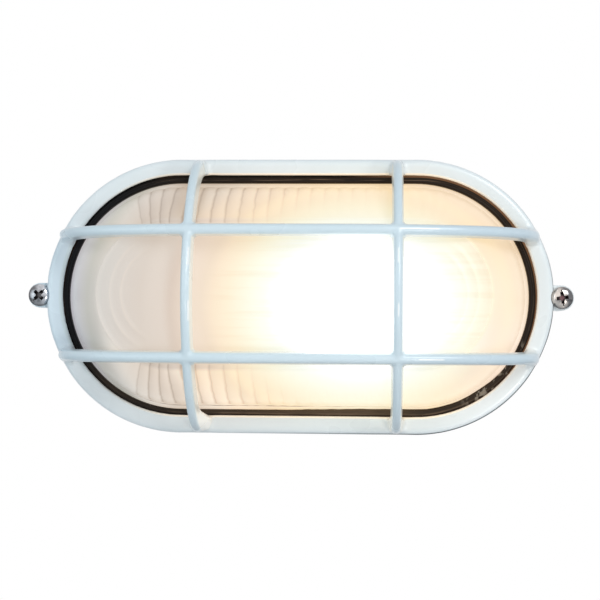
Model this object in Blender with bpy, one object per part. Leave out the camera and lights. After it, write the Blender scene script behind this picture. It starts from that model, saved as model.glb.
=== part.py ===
# Oval bulkhead light: cast housing, ribbed glass on a rubber seal, cast guard, lamp in a porcelain holder.
# It is drawn lying on its back, X along its length, Y up the wall and Z out of the wall,
# and a parent empty stands it up, so that it faces -Y in the world with +Z up.

import math

import bmesh
import bpy
from mathutils import Matrix, Vector

# Clearances, in metres as every size below
SEAT_GAP = 0.0003
SCREW_CLEARANCE = 0.0003
BAR_TO_GLASS = 0.0060
LAMP_TO_GLASS = 0.0030

# Oval that the housing, seal, glass and guard share
HALF_STRAIGHT = 0.0475
END_STEPS = 16

# Housing
HOUSING_DEPTH = 0.0398
HOUSING_WALL = 0.0030
HOUSING_FLOOR = 0.0030
HOUSING_FLANGE = 0.0028
HOUSING_FLANGE_HEIGHT = 0.0050
HOUSING_DRAFT = 0.0022
BOSS_HEIGHT = 0.0030
BOSS_RADIUS = 0.0042

# Glass seal
SEAL_RECESS = 0.0026
SEAL_WALL = 0.0019
SEAL_FLOOR = 0.0024
SEAL_LIP = 0.0020
SEAL_BEAD = 0.0015

# Glass
FLANGE_WIDTH = 0.0048
FLANGE_THICKNESS = 0.0038
GLASS_WALL = 0.0034
GLASS_LEDGE = 0.0019
LEDGE_RISE = 0.0007
DOME_POWER = 1.8
FACE_RADIUS = 0.0290
FACE_RIDGE = 0.0005
RING_RADII = (0.0238, 0.0195)
RING_WIDTH = 0.0012
RIBS_ON_SIDE = 16
RIBS_ON_BEND = 4
RIB_HEIGHT = 0.0004

# Guard
GUARD_RADIUS = 0.0570
GUARD_WALL = 0.0030
GUARD_LIP = 0.0024
GUARD_RING_WIDTH = 0.0073
GUARD_EDGE_ROUND = 0.0022
BAR_WIDTH = 0.0040
BAR_DEPTH = 0.0055
BAR_CORNER = 0.0006
BAR_FLARE = 0.0026
BAR_FLARE_HEIGHT = 0.0100
BAR_ROOT = 0.0029
BAR_ROOT_HEIGHT = 0.0240
BAR_SINK = 0.0018
BAR_INSET = 0.0006
UPRIGHT_X = 0.0398
UPRIGHT_RISE = 0.0480
UPRIGHT_POWER = 1.79
CROSSBAR_Y = 0.0244
CROSSBAR_POWER = 3.1

# Guard screws and their ears
SCREW_OUTSET = 0.0034
SCREW_SHANK_RADIUS = 0.00195
SCREW_LENGTH = 0.0176
SCREW_HEAD_RADIUS = 0.0046
SCREW_HEAD_HEIGHT = 0.0029
SCREW_TURNS = {"guard_screw_left": 45, "guard_screw_right": 8}
EAR_RADIUS = 0.0052
GUARD_EAR_THICKNESS = 0.0042
HOUSING_EAR_HEIGHT = 0.0180

# Wall fixing holes and rear cable entry
FIXING_PAST_SIDE = 0.0125
FIXING_INSET = 0.0250
FIXING_HOLE_RADIUS = 0.0026
FIXING_PAD_RADIUS = 0.0065
FIXING_PAD_HEIGHT = 0.0014
ENTRY_X = -0.030
ENTRY_RADIUS = 0.0100
ENTRY_LEDGE = 0.0030
ENTRY_LEDGE_DEPTH = 0.0016
GROMMET_BORE_RADIUS = 0.0050
GROMMET_FLANGE = 0.0018

# Lampholder and its bracket
BRACKET_INSET = 0.0265
BRACKET_THICKNESS = 0.0015
BRACKET_WIDTH = 0.0260
BRACKET_FOOT = 0.0125
BRACKET_TOP_MARGIN = 0.0170
BRACKET_SCREW_Y = 0.0075
HOLDER_LENGTH = 0.0400
HOLDER_BASE_RADIUS = 0.0195
HOLDER_BASE_LENGTH = 0.0150
HOLDER_SKIRT_RADIUS = 0.0178
HOLDER_FLOOR = 0.0130
HOLDER_SCREW_SPACING = 0.0125
SHELL_WALL = 0.0004
CONTACT_RISE = 0.0027
CONTACT_WIDTH = 0.0060
TERMINAL_ANGLE = math.radians(32)
TERMINAL_SLOT_LENGTH = 0.0095
TERMINAL_SLOT_WIDTH = 0.0070
TERMINAL_SLOT_START = 0.0030
TERMINAL_SLOT_DEPTH = 0.0062
TERMINAL_RADIUS = 0.0023

# Lamp
LAMP_LENGTH = 0.1050
LAMP_RADIUS = 0.0300
LAMP_NECK_RADIUS = 0.0150
CAP_LENGTH = 0.0250
CAP_RADIUS = 0.0132
CAP_THREAD_PITCH = 0.0036
CAP_THREAD_DEPTH = 0.0006
CAP_CONTACT_RADIUS = 0.0045

# Terminal block, earth and leads
BLOCK_INSET = 0.0365
BLOCK_LENGTH = 0.0220
BLOCK_WIDTH = 0.0200
BLOCK_HEIGHT = 0.0110
BARREL_PITCH = 0.0095
BARREL_RADIUS = 0.0023
BARREL_BORE = 0.0015
BARREL_LENGTH = 0.0180
CLAMP_SPACING = 0.0130
CLAMP_SCREW_RADIUS = 0.0015
EARTH_X = 0.0300
EARTH_INSET = 0.0210
EARTH_BOSS_RADIUS = 0.0050
WASHER_THICKNESS = 0.0008
LEAD_RADIUS = 0.0012
LEAD_INSETS = {"live": 0.0185, "neutral": 0.0240}
LEAD_RUN_DEPTH = 0.0062
LEAD_RUN_START = 0.0360
LEAD_RUN_END = 0.0340
LEAD_LOOP = 0.0065
SMALL_SCREW_RADIUS = 0.0015
SMALL_SCREW_HEAD_RADIUS = 0.0030
SMALL_SCREW_HEAD_HEIGHT = 0.0019
SMALL_SCREW_DEPTH = 0.0045
SMALL_STEPS = 10

# Worked out from the sizes above, from the wall outwards
RIM = HOUSING_DEPTH
SEAL_SEAT = RIM - SEAL_RECESS
SEAL_BASE = SEAL_SEAT + SEAT_GAP
FLANGE_BOTTOM = SEAL_BASE + SEAL_FLOOR + SEAT_GAP
FLANGE_TOP = FLANGE_BOTTOM + FLANGE_THICKNESS
SEAL_TOP = FLANGE_TOP + SEAT_GAP + SEAL_LIP
LIP_UNDERSIDE = SEAL_TOP + SEAT_GAP
GUARD_FRONT = LIP_UNDERSIDE + GUARD_LIP
GUARD_BOTTOM = RIM + SEAT_GAP
EAR_TOP = GUARD_BOTTOM + GUARD_EAR_THICKNESS

# The same from the guard's outer edge inwards
SKIRT_INNER = GUARD_RADIUS - GUARD_WALL
WINDOW_RADIUS = GUARD_RADIUS - GUARD_RING_WIDTH
SEAL_OUTER = SKIRT_INNER - SEAT_GAP
FLANGE_RADIUS = SEAL_OUTER - SEAL_WALL - SEAT_GAP
GLASS_RADIUS = FLANGE_RADIUS - FLANGE_WIDTH
SEAL_INNER = GLASS_RADIUS + SEAT_GAP
WALL_TOP_RADIUS = GUARD_RADIUS - HOUSING_FLANGE
WALL_BACK_RADIUS = WALL_TOP_RADIUS - HOUSING_DRAFT
LEDGE_RADIUS = SEAL_INNER + 0.4 * SEAL_RECESS

# Places that follow the ends and sides of the oval
OVAL_END = HALF_STRAIGHT + GUARD_RADIUS
SCREW_X = OVAL_END + SCREW_OUTSET
BRACKET_X = BRACKET_INSET - OVAL_END
BLOCK_X = OVAL_END - BLOCK_INSET
EARTH_Y = EARTH_INSET - GUARD_RADIUS
FIXING_X = HALF_STRAIGHT + FIXING_PAST_SIDE
FIXING_Y = GUARD_RADIUS - FIXING_INSET
FIXING_PLACES = ((-FIXING_X, -FIXING_Y), (-FIXING_X, FIXING_Y), (FIXING_X, -FIXING_Y), (FIXING_X, FIXING_Y))

# Arches of the guard, and what stands under them
CROSSBAR_REACH = HALF_STRAIGHT + math.sqrt(GUARD_RADIUS**2 - CROSSBAR_Y**2)
CROSSING_RISE = UPRIGHT_RISE * math.sqrt(1 - (CROSSBAR_Y / GUARD_RADIUS) ** UPRIGHT_POWER)
CROSSBAR_RISE = CROSSING_RISE / math.sqrt(1 - (UPRIGHT_X / CROSSBAR_REACH) ** CROSSBAR_POWER)
GLASS_FRONT = GUARD_FRONT + CROSSING_RISE - BAR_DEPTH - BAR_TO_GLASS
LAMP_DEPTH = GLASS_FRONT - GLASS_WALL - LAMP_TO_GLASS - LAMP_RADIUS

# Along the lamp, from the bracket to the right
BOSS_TOP = HOUSING_FLOOR + BOSS_HEIGHT
HOLDER_START = BRACKET_X + SEAT_GAP
CONTACT_START = HOLDER_START + HOLDER_FLOOR + SEAT_GAP
LAMP_START = CONTACT_START + CONTACT_RISE + SEAT_GAP
SHELL_INNER = CAP_RADIUS + SEAT_GAP
SHELL_OUTER = SHELL_INNER + SHELL_WALL
HOLDER_BORE = SHELL_OUTER + SEAT_GAP

# Turns that point a piece's own Z along the lamp, or back towards the bracket
ALONG_LAMP = (0, math.pi / 2, 0)
TOWARDS_BRACKET = (0, -math.pi / 2, 0)


def clear_scene():
    for item in list(bpy.data.objects):
        bpy.data.objects.remove(item, do_unlink=True)


def make_material(name, color, roughness, metallic=0.0):
    made = bpy.data.materials.new(name)
    made.use_nodes = True
    shader = made.node_tree.nodes["Principled BSDF"]
    shader.inputs["Base Color"].default_value = (*color, 1.0)
    shader.inputs["Roughness"].default_value = roughness
    shader.inputs["Metallic"].default_value = metallic
    made.diffuse_color = (*color, 1.0)
    return made


clear_scene()
wall_frame = bpy.data.objects.new("wall_frame", None)
wall_frame.rotation_euler = (math.pi / 2, 0, 0)
bpy.context.scene.collection.objects.link(wall_frame)

enamel = make_material("white_enamel", (0.80, 0.85, 0.88), 0.30)
rubber = make_material("black_rubber", (0.02, 0.018, 0.017), 0.55)
frosted_glass = make_material("frosted_glass", (0.95, 0.92, 0.85), 0.35)
stainless = make_material("stainless_steel", (0.62, 0.62, 0.63), 0.25, 1.0)
zinc_plate = make_material("zinc_plated_steel", (0.60, 0.61, 0.60), 0.38, 1.0)
porcelain = make_material("white_porcelain", (0.86, 0.85, 0.81), 0.18)
brass = make_material("brass", (0.78, 0.57, 0.28), 0.30, 1.0)
bronze = make_material("spring_bronze", (0.70, 0.45, 0.26), 0.35, 1.0)
nickel = make_material("nickel_plate", (0.66, 0.63, 0.58), 0.28, 1.0)
opal_glass = make_material("opal_lamp_glass", (0.97, 0.95, 0.90), 0.30)
black_glass = make_material("black_cap_glass", (0.03, 0.02, 0.04), 0.15)
brown_sleeve = make_material("brown_lead_sleeve", (0.16, 0.07, 0.03), 0.45)
blue_sleeve = make_material("blue_lead_sleeve", (0.03, 0.12, 0.42), 0.45)
tool_finish = make_material("cutter", (0.9, 0.2, 0.2), 0.5)


def add_piece(name, bm, finish, location=(0, 0, 0), rotation=(0, 0, 0), sharp=35):
    mesh = bpy.data.meshes.new(name)
    bmesh.ops.recalc_face_normals(bm, faces=bm.faces)
    bm.to_mesh(mesh)
    bm.free()
    mesh.materials.append(finish)
    mesh.shade_smooth()
    mesh.set_sharp_from_angle(angle=math.radians(sharp))
    piece = bpy.data.objects.new(name, mesh)
    piece.location = location
    piece.rotation_euler = rotation
    piece.parent = wall_frame
    bpy.context.scene.collection.objects.link(piece)
    return piece


def combine(piece, bm, operation, location=(0, 0, 0), rotation=(0, 0, 0)):
    # Joins a shape to a piece with UNION, or cuts it out with DIFFERENCE
    name = f"{piece.name}_{operation.lower()}_{len(piece.modifiers) + 1}"
    tool = add_piece(name, bm, tool_finish, location, rotation)
    tool.hide_render = True
    tool.display_type = "WIRE"
    boolean = piece.modifiers.new(name, "BOOLEAN")
    boolean.operation = operation
    boolean.object = tool
    return tool


def new_parts(geometry):
    corners = [item for item in geometry if isinstance(item, bmesh.types.BMVert)]
    ends = set(corners)
    sides = [item for item in geometry if isinstance(item, bmesh.types.BMEdge) and ends.issuperset(item.verts)]
    return corners, sides


def draw_profile(bm, points, closed):
    corners = [bm.verts.new(point) for point in points]
    sides = [bm.edges.new(pair) for pair in zip(corners, corners[1:])]
    if closed:
        sides.append(bm.edges.new((corners[-1], corners[0])))
    return corners, sides


def sweep_oval(profile, closed, side_steps=1, bends=((math.pi, END_STEPS),)):
    # Carries a (radius, depth) profile along one side, round the end, and back
    bm = bmesh.new()
    corners, sides = draw_profile(bm, [(-HALF_STRAIGHT, -radius, depth) for radius, depth in profile], closed)
    for direction in (1, -1):
        for _ in range(side_steps):
            corners, sides = new_parts(bmesh.ops.extrude_edge_only(bm, edges=sides)["geom"])
            bmesh.ops.translate(bm, verts=corners, vec=(direction * 2 * HALF_STRAIGHT / side_steps, 0, 0))
        for angle, steps in bends:
            turned = bmesh.ops.spin(
                bm,
                geom=corners + sides,
                cent=(direction * HALF_STRAIGHT, 0, 0),
                axis=(0, 0, 1),
                angle=angle,
                steps=steps,
            )
            corners, sides = new_parts(turned["geom_last"])
    bmesh.ops.remove_doubles(bm, verts=bm.verts, dist=1e-6)
    return bm


def turn(profile, steps=24, closed=False):
    # Turns a (radius, height) profile about Z; an open one starts and ends on the axis
    bm = bmesh.new()
    corners, sides = draw_profile(bm, [(radius, 0, height) for radius, height in profile], closed)
    bmesh.ops.spin(bm, geom=corners + sides, cent=(0, 0, 0), axis=(0, 0, 1), angle=2 * math.pi, steps=steps)
    bmesh.ops.remove_doubles(bm, verts=bm.verts, dist=1e-6)
    return bm


def merge_shape(bm, shape, location=(0, 0, 0)):
    bmesh.ops.translate(shape, verts=shape.verts, vec=location)
    mesh = bpy.data.meshes.new("merged")
    shape.to_mesh(mesh)
    shape.free()
    bm.from_mesh(mesh)
    bpy.data.meshes.remove(mesh)


def rod(radius, bottom, top, steps=SMALL_STEPS):
    return turn([(0, bottom), (radius, bottom), (radius, top), (0, top)], steps)


def rods(places, radius, bottom, top, steps=SMALL_STEPS):
    bm = bmesh.new()
    for x, y in places:
        merge_shape(bm, rod(radius, bottom, top, steps), (x, y, 0))
    return bm


def box(length, width, height, center=(0, 0, 0), edge=0.0):
    bm = bmesh.new()
    bmesh.ops.create_cube(bm, size=1.0)
    bmesh.ops.scale(bm, vec=(length, width, height), verts=bm.verts)
    if edge:
        bmesh.ops.bevel(bm, geom=bm.edges, offset=edge, segments=1, profile=0.5, affect="EDGES")
    bmesh.ops.translate(bm, verts=bm.verts, vec=center)
    return bm


def prism(outline, bottom, top):
    # Raises an (x, y) outline from one height to another
    bm = bmesh.new()
    face = bm.faces.new([bm.verts.new((x, y, bottom)) for x, y in outline])
    raised, _ = new_parts(bmesh.ops.extrude_face_region(bm, geom=[face])["geom"])
    bmesh.ops.translate(bm, verts=raised, vec=(0, 0, top - bottom))
    return bm


def arc(center, radius, start, end, steps):
    turns = [math.radians(start + (end - start) * step / steps) for step in range(steps + 1)]
    return [(center[0] + radius * math.cos(t), center[1] + radius * math.sin(t)) for t in turns]


def loft(rings):
    bm = bmesh.new()
    loops = [[bm.verts.new(point) for point in ring] for ring in rings]
    for low, high in zip(loops, loops[1:]):
        for index, corner in enumerate(low):
            following = (index + 1) % len(low)
            bm.faces.new((corner, low[following], high[following], high[index]))
    bm.faces.new(loops[0])
    bm.faces.new(loops[-1])
    return bm


def smooth_path(points, steps):
    # Reads a smooth curve that passes through the points
    ends = [2 * points[0] - points[1], *points, 2 * points[-1] - points[-2]]
    path = []
    for before, start, end, after in zip(ends, ends[1:], ends[2:], ends[3:]):
        leaving = 0.5 * (end - before)
        arriving = 0.5 * (after - start)
        for step in range(steps):
            t = step / steps
            along = (3 * t**2 - 2 * t**3) * (end - start)
            path.append(start + along + (t - 2 * t**2 + t**3) * leaving + (t**3 - t**2) * arriving)
    return [*path, points[-1]]


# Housing

def ear_outline(inner_x, radius):
    return [(inner_x, -radius), *arc((SCREW_X, 0), radius, -90, 90, 8), (inner_x, radius)]


def mirrored(outline):
    return [(-x, y) for x, y in outline]


def housing_ears():
    # The ears hang outside the wall as columns that taper off at the foot
    bottom = RIM - HOUSING_EAR_HEIGHT
    in_wall = WALL_TOP_RADIUS - 0.5 * HOUSING_WALL - 0.5 * HOUSING_DRAFT
    in_flange = SKIRT_INNER + 0.2 * HOUSING_FLANGE
    sections = (
        (0.72 * EAR_RADIUS, bottom, in_wall),
        (EAR_RADIUS, bottom + EAR_RADIUS, in_wall),
        (EAR_RADIUS, SEAL_SEAT - HOUSING_WALL, in_wall),
        (EAR_RADIUS, SEAL_SEAT, in_flange),
        (EAR_RADIUS, RIM, in_flange),
    )
    bm = bmesh.new()
    for side in (1, -1):
        rings = []
        for radius, depth, inner_radius in sections:
            outline = ear_outline(HALF_STRAIGHT + inner_radius, radius)
            rings.append([(side * x, y, depth) for x, y in outline])
        merge_shape(bm, loft(rings))
    return bm


def make_housing():
    corner = 0.5 * HOUSING_WALL
    flange_bottom = RIM - HOUSING_FLANGE_HEIGHT
    inner_back = WALL_BACK_RADIUS - HOUSING_WALL
    inner_top = WALL_TOP_RADIUS - HOUSING_WALL
    under_ledge = SEAL_SEAT - HOUSING_WALL
    profile = [
        (0, 0),
        (WALL_BACK_RADIUS - corner, 0),
        (WALL_BACK_RADIUS - 0.3 * corner, 0.3 * corner),
        (WALL_BACK_RADIUS, corner),
        (WALL_TOP_RADIUS, flange_bottom - HOUSING_FLANGE),
        (WALL_TOP_RADIUS + 0.3 * HOUSING_FLANGE, flange_bottom - 0.3 * HOUSING_FLANGE),
        (GUARD_RADIUS, flange_bottom + 0.2 * HOUSING_FLANGE),
        (GUARD_RADIUS, RIM),
        (SKIRT_INNER, RIM),
        (SKIRT_INNER, SEAL_SEAT),
        (LEDGE_RADIUS, SEAL_SEAT),
        (LEDGE_RADIUS, under_ledge),
        (inner_top, under_ledge - (inner_top - LEDGE_RADIUS)),
        (inner_back, HOUSING_FLOOR + 1.5 * corner),
        (inner_back - 0.45 * corner, HOUSING_FLOOR + 0.45 * corner),
        (inner_back - 1.5 * corner, HOUSING_FLOOR),
        (0, HOUSING_FLOOR),
    ]
    housing = add_piece("base_housing", sweep_oval(profile, closed=False), enamel)
    combine(housing, housing_ears(), "UNION")

    bosses = rods(FIXING_PLACES, FIXING_PAD_RADIUS, 0.5 * HOUSING_FLOOR, HOUSING_FLOOR + FIXING_PAD_HEIGHT, 16)
    for x, y in bracket_screw_places() + [(BLOCK_X, 0)]:
        merge_shape(bosses, rod(BOSS_RADIUS, 0.5 * HOUSING_FLOOR, BOSS_TOP, 12), (x, y, 0))
    earth_boss = rod(EARTH_BOSS_RADIUS, 0.5 * HOUSING_FLOOR, BOSS_TOP, 12)
    merge_shape(bosses, earth_boss, (EARTH_X, EARTH_Y, 0))
    combine(housing, bosses, "UNION")

    holes = rods(FIXING_PLACES, FIXING_HOLE_RADIUS, -HOUSING_FLOOR, 3 * HOUSING_FLOOR)
    screw_hole = SCREW_SHANK_RADIUS + SCREW_CLEARANCE
    hole_bottom = EAR_TOP - SCREW_LENGTH - 2 * SCREW_CLEARANCE
    for side in (-1, 1):
        merge_shape(holes, rod(screw_hole, hole_bottom, RIM + HOUSING_WALL), (side * SCREW_X, 0, 0))
    for x, y in bracket_screw_places() + [(BLOCK_X, 0), (EARTH_X, EARTH_Y)]:
        small_hole = rod(SMALL_SCREW_RADIUS + SCREW_CLEARANCE, BOSS_TOP - SMALL_SCREW_DEPTH, 2 * BOSS_TOP)
        merge_shape(holes, small_hole, (x, y, 0))
    entry = [
        (0, -HOUSING_FLOOR),
        (ENTRY_RADIUS + ENTRY_LEDGE, -HOUSING_FLOOR),
        (ENTRY_RADIUS + ENTRY_LEDGE, ENTRY_LEDGE_DEPTH),
        (ENTRY_RADIUS, ENTRY_LEDGE_DEPTH),
        (ENTRY_RADIUS, 2 * HOUSING_FLOOR),
        (0, 2 * HOUSING_FLOOR),
    ]
    merge_shape(holes, turn(entry, 20), (ENTRY_X, 0, 0))
    combine(housing, holes, "DIFFERENCE")


def make_grommet():
    neck = ENTRY_RADIUS - SEAT_GAP
    back = SEAT_GAP
    groove_back = ENTRY_LEDGE_DEPTH - SEAT_GAP
    groove_front = HOUSING_FLOOR + SEAT_GAP
    front = groove_front + GROMMET_FLANGE
    profile = [
        (GROMMET_BORE_RADIUS, back),
        (ENTRY_RADIUS + ENTRY_LEDGE - SEAT_GAP, back),
        (ENTRY_RADIUS + ENTRY_LEDGE - SEAT_GAP, groove_back),
        (neck, groove_back),
        (neck, groove_front),
        (ENTRY_RADIUS + GROMMET_FLANGE, groove_front),
        (ENTRY_RADIUS + 0.7 * GROMMET_FLANGE, front),
        (GROMMET_BORE_RADIUS + 0.5 * GROMMET_FLANGE, front + 0.5 * GROMMET_FLANGE),
        (GROMMET_BORE_RADIUS, front),
    ]
    add_piece("cable_grommet", turn(profile, 20, closed=True), rubber, (ENTRY_X, 0, 0))


# Seal and glass

def make_seal():
    bead_top = SEAL_TOP + SEAL_BEAD
    bead_outer = WINDOW_RADIUS - SEAT_GAP
    bead_middle = 0.5 * (bead_outer + SEAL_INNER)
    groove_outer = FLANGE_RADIUS + SEAT_GAP
    profile = [
        (SEAL_OUTER, SEAL_BASE),
        (SEAL_OUTER, SEAL_TOP),
        (bead_outer, SEAL_TOP),
        (bead_outer - 0.1 * SEAL_BEAD, SEAL_TOP + 0.6 * SEAL_BEAD),
        (bead_middle, bead_top),
        (SEAL_INNER + 0.1 * SEAL_BEAD, SEAL_TOP + 0.4 * SEAL_BEAD),
        (SEAL_INNER, SEAL_TOP - 0.5 * SEAL_LIP),
        (SEAL_INNER, FLANGE_TOP + SEAT_GAP),
        (groove_outer, FLANGE_TOP + SEAT_GAP),
        (groove_outer, FLANGE_BOTTOM - SEAT_GAP),
        (SEAL_INNER, FLANGE_BOTTOM - SEAT_GAP),
        (SEAL_INNER, SEAL_BASE + 0.3 * SEAL_FLOOR),
        (SEAL_INNER + 0.3 * SEAL_FLOOR, SEAL_BASE),
    ]
    add_piece("glass_seal", sweep_oval(profile, closed=True), rubber)


def dome_curve(outer_radius, inner_radius, bottom, top, steps):
    # The side of the dome, upright at the flange and leaning in towards the front face
    points = []
    for step in range(steps + 1):
        share = step / steps
        lean = share**DOME_POWER
        points.append((outer_radius + (inner_radius - outer_radius) * lean, bottom + (top - bottom) * share))
    return points


def rib_height(corner):
    # Ribs stand square to the rim along the sides and die out round the bends
    pitch = 2 * HALF_STRAIGHT / RIBS_ON_SIDE
    past_side = max(0.0, abs(corner.x) - HALF_STRAIGHT)
    bend = math.atan2(past_side, abs(corner.y))
    along = (min(abs(corner.x), HALF_STRAIGHT) + bend * GLASS_RADIUS) / pitch
    fade = max(0.0, 1 - bend * GLASS_RADIUS / (RIBS_ON_BEND * pitch))
    return RIB_HEIGHT * math.cos(2 * math.pi * along) * min(1.0, 2 * fade)


def make_glass():
    wall_foot = FLANGE_TOP + SEAT_GAP + SEAL_LIP
    dome_foot = wall_foot + LEDGE_RISE
    foot_radius = GLASS_RADIUS - GLASS_LEDGE
    shoulder = GLASS_FRONT - 0.3 * GLASS_WALL
    profile = [(0, GLASS_FRONT)]
    for radius in reversed(RING_RADII):
        profile += [
            (radius - 0.5 * RING_WIDTH, GLASS_FRONT),
            (radius, GLASS_FRONT + FACE_RIDGE),
            (radius + 0.5 * RING_WIDTH, GLASS_FRONT),
        ]
    profile += [(FACE_RADIUS - RING_WIDTH, GLASS_FRONT), (FACE_RADIUS, GLASS_FRONT + FACE_RIDGE)]
    outer_side = dome_curve(foot_radius, FACE_RADIUS + 0.5 * RING_WIDTH, dome_foot, shoulder, 5)
    profile += reversed(outer_side)
    profile += [
        (GLASS_RADIUS, wall_foot),
        (GLASS_RADIUS, FLANGE_TOP),
        (FLANGE_RADIUS, FLANGE_TOP),
        (FLANGE_RADIUS, FLANGE_BOTTOM),
        (GLASS_RADIUS - GLASS_WALL, FLANGE_BOTTOM),
    ]
    inner_radius = foot_radius - GLASS_WALL
    inner_face = FACE_RADIUS - 0.5 * GLASS_WALL
    profile += dome_curve(inner_radius, inner_face, wall_foot, shoulder - GLASS_WALL, 3)
    profile += [(inner_face - GLASS_WALL, GLASS_FRONT - GLASS_WALL), (0, GLASS_FRONT - GLASS_WALL)]

    ribbed_turn = RIBS_ON_BEND * 2 * HALF_STRAIGHT / RIBS_ON_SIDE / GLASS_RADIUS
    bends = ((ribbed_turn, 2 * RIBS_ON_BEND), (math.pi - 2 * ribbed_turn, 9), (ribbed_turn, 2 * RIBS_ON_BEND))
    bm = sweep_oval(profile, closed=False, side_steps=2 * RIBS_ON_SIDE, bends=bends)
    bm.normal_update()
    ribbed = [
        corner
        for corner in bm.verts
        if dome_foot + 0.5 * GLASS_WALL < corner.co.z < shoulder - 0.001
        and oval_radius(corner.co) > dome_middle(corner.co.z, dome_foot, shoulder)
    ]
    for corner in ribbed:
        outwards = Vector((corner.co.x - max(-HALF_STRAIGHT, min(HALF_STRAIGHT, corner.co.x)), corner.co.y, 0))
        corner.co += outwards.normalized() * rib_height(corner.co)
    add_piece("glass_lens", bm, frosted_glass, sharp=20)


def oval_radius(corner):
    past_side = max(0.0, abs(corner.x) - HALF_STRAIGHT)
    return math.hypot(past_side, corner.y)


def dome_middle(depth, bottom, top):
    # Radius of the middle of the dome's wall at a depth, which parts its outside from its inside
    foot = GLASS_RADIUS - GLASS_LEDGE - 0.5 * GLASS_WALL
    curve = dome_curve(foot, FACE_RADIUS - 0.5 * GLASS_WALL, bottom, top, 40)
    nearest = min(curve, key=lambda point: abs(point[1] - depth))
    return nearest[0]


# Guard

def bar_section(width, depth):
    # D section as (across, inwards): round towards the front, small corners behind
    half = 0.5 * width
    front = [(half * math.cos(t), half * (1 - math.sin(t))) for t in (math.pi * step / 4 for step in range(5))]
    behind = [
        (-half, depth - BAR_CORNER),
        (-half + BAR_CORNER, depth),
        (half - BAR_CORNER, depth),
        (half, depth - BAR_CORNER),
    ]
    return front + behind


def arched_bar(half_span, rise, power, foot_depth, steps):
    # An arch in the XZ plane that stands on the guard's ring, wider and deeper towards its feet
    path = [Vector((-half_span, 0, -BAR_SINK))]
    for step in range(steps + 1):
        turn_angle = math.pi * (step / steps - 0.5)
        reach = math.copysign(abs(math.sin(turn_angle)) ** (2 / power), turn_angle)
        path.append(Vector((half_span * reach, 0, rise * math.cos(turn_angle))))
    path.append(Vector((half_span, 0, -BAR_SINK)))
    rings = []
    for index, point in enumerate(path):
        before = path[max(index - 1, 0)]
        after = path[min(index + 1, len(path) - 1)]
        heading = (after - before).normalized()
        inwards = Vector((heading.z, 0, -heading.x))
        height = max(point.z, 0.0)
        width = BAR_WIDTH + BAR_FLARE * max(0.0, 1 - height / BAR_FLARE_HEIGHT) ** 2
        depth = BAR_DEPTH + BAR_ROOT * max(0.0, 1 - height / BAR_ROOT_HEIGHT) ** 1.5
        section = bar_section(width, depth if height > BAR_SINK else foot_depth)
        rings.append([point + Vector((0, across, 0)) + inwards * depth for across, depth in section])
    return loft(rings)


def make_guard():
    edge = GUARD_EDGE_ROUND
    crown = 0.1 * GUARD_LIP
    outer_edge = arc((GUARD_RADIUS - edge, GUARD_FRONT - crown - edge), edge, 0, 90, 4)
    inner_edge = arc((WINDOW_RADIUS + 0.4 * edge, GUARD_FRONT - 0.4 * edge - crown), 0.4 * edge, 90, 180, 2)
    profile = [
        (GUARD_RADIUS, GUARD_BOTTOM),
        *outer_edge,
        (0.5 * (GUARD_RADIUS + WINDOW_RADIUS), GUARD_FRONT),
        *inner_edge,
        (WINDOW_RADIUS, LIP_UNDERSIDE),
        (SKIRT_INNER, LIP_UNDERSIDE),
        (SKIRT_INNER, GUARD_BOTTOM),
    ]
    guard = add_piece("guard", sweep_oval(profile, closed=True), enamel)

    # Inside the ring a foot goes no further than the window's edge, so that it clears the seal
    upright_foot = GUARD_RING_WIDTH - 1.2 * BAR_INSET
    foot_side = CROSSBAR_Y - 0.5 * (BAR_WIDTH + BAR_FLARE)
    crossbar_foot = CROSSBAR_REACH - HALF_STRAIGHT - math.sqrt(WINDOW_RADIUS**2 - foot_side**2) - 1.2 * BAR_INSET
    for side in (-1, 1):
        upright = arched_bar(GUARD_RADIUS - BAR_INSET, UPRIGHT_RISE, UPRIGHT_POWER, upright_foot, 16)
        combine(guard, upright, "UNION", (side * UPRIGHT_X, 0, GUARD_FRONT), (0, 0, math.pi / 2))
    for side in (-1, 1):
        crossbar = arched_bar(CROSSBAR_REACH - BAR_INSET, CROSSBAR_RISE, CROSSBAR_POWER, crossbar_foot, 22)
        combine(guard, crossbar, "UNION", (0, side * CROSSBAR_Y, GUARD_FRONT))

    ears = bmesh.new()
    ear = ear_outline(HALF_STRAIGHT + GUARD_RADIUS - 0.6 * GUARD_WALL, EAR_RADIUS)
    merge_shape(ears, prism(ear, GUARD_BOTTOM, EAR_TOP))
    merge_shape(ears, prism(mirrored(ear), GUARD_BOTTOM, EAR_TOP))
    combine(guard, ears, "UNION")

    # Each screw hole opens into a round seat that is cut into the side of the ring
    hole = SCREW_SHANK_RADIUS + SCREW_CLEARANCE
    seat = SCREW_HEAD_RADIUS + SCREW_CLEARANCE
    seats = bmesh.new()
    for side in (-1, 1):
        stepped = [
            (0, GUARD_BOTTOM - GUARD_WALL),
            (hole, GUARD_BOTTOM - GUARD_WALL),
            (hole, EAR_TOP),
            (seat, EAR_TOP),
            (seat, GUARD_FRONT + GUARD_WALL),
            (0, GUARD_FRONT + GUARD_WALL),
        ]
        merge_shape(seats, turn(stepped, 20), (side * SCREW_X, 0, 0))
    combine(guard, seats, "DIFFERENCE")


# Screws

def pan_screw(shank_radius, length, head_radius, head_height, steps):
    # Drawn with the underside of its head at height 0 and its point below
    profile = [
        (0, -length),
        (shank_radius, -length),
        (shank_radius, 0),
        (head_radius, 0),
        (head_radius, 0.35 * head_height),
        (0.84 * head_radius, 0.76 * head_height),
        (0.5 * head_radius, head_height),
        (0, head_height),
    ]
    return turn(profile, steps)


def cut_slot(screw, length, width, depth, head_height, location, angle):
    slot = box(length, width, 2 * depth)
    place = (location[0], location[1], location[2] + head_height)
    combine(screw, slot, "DIFFERENCE", place, (0, 0, angle))


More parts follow.
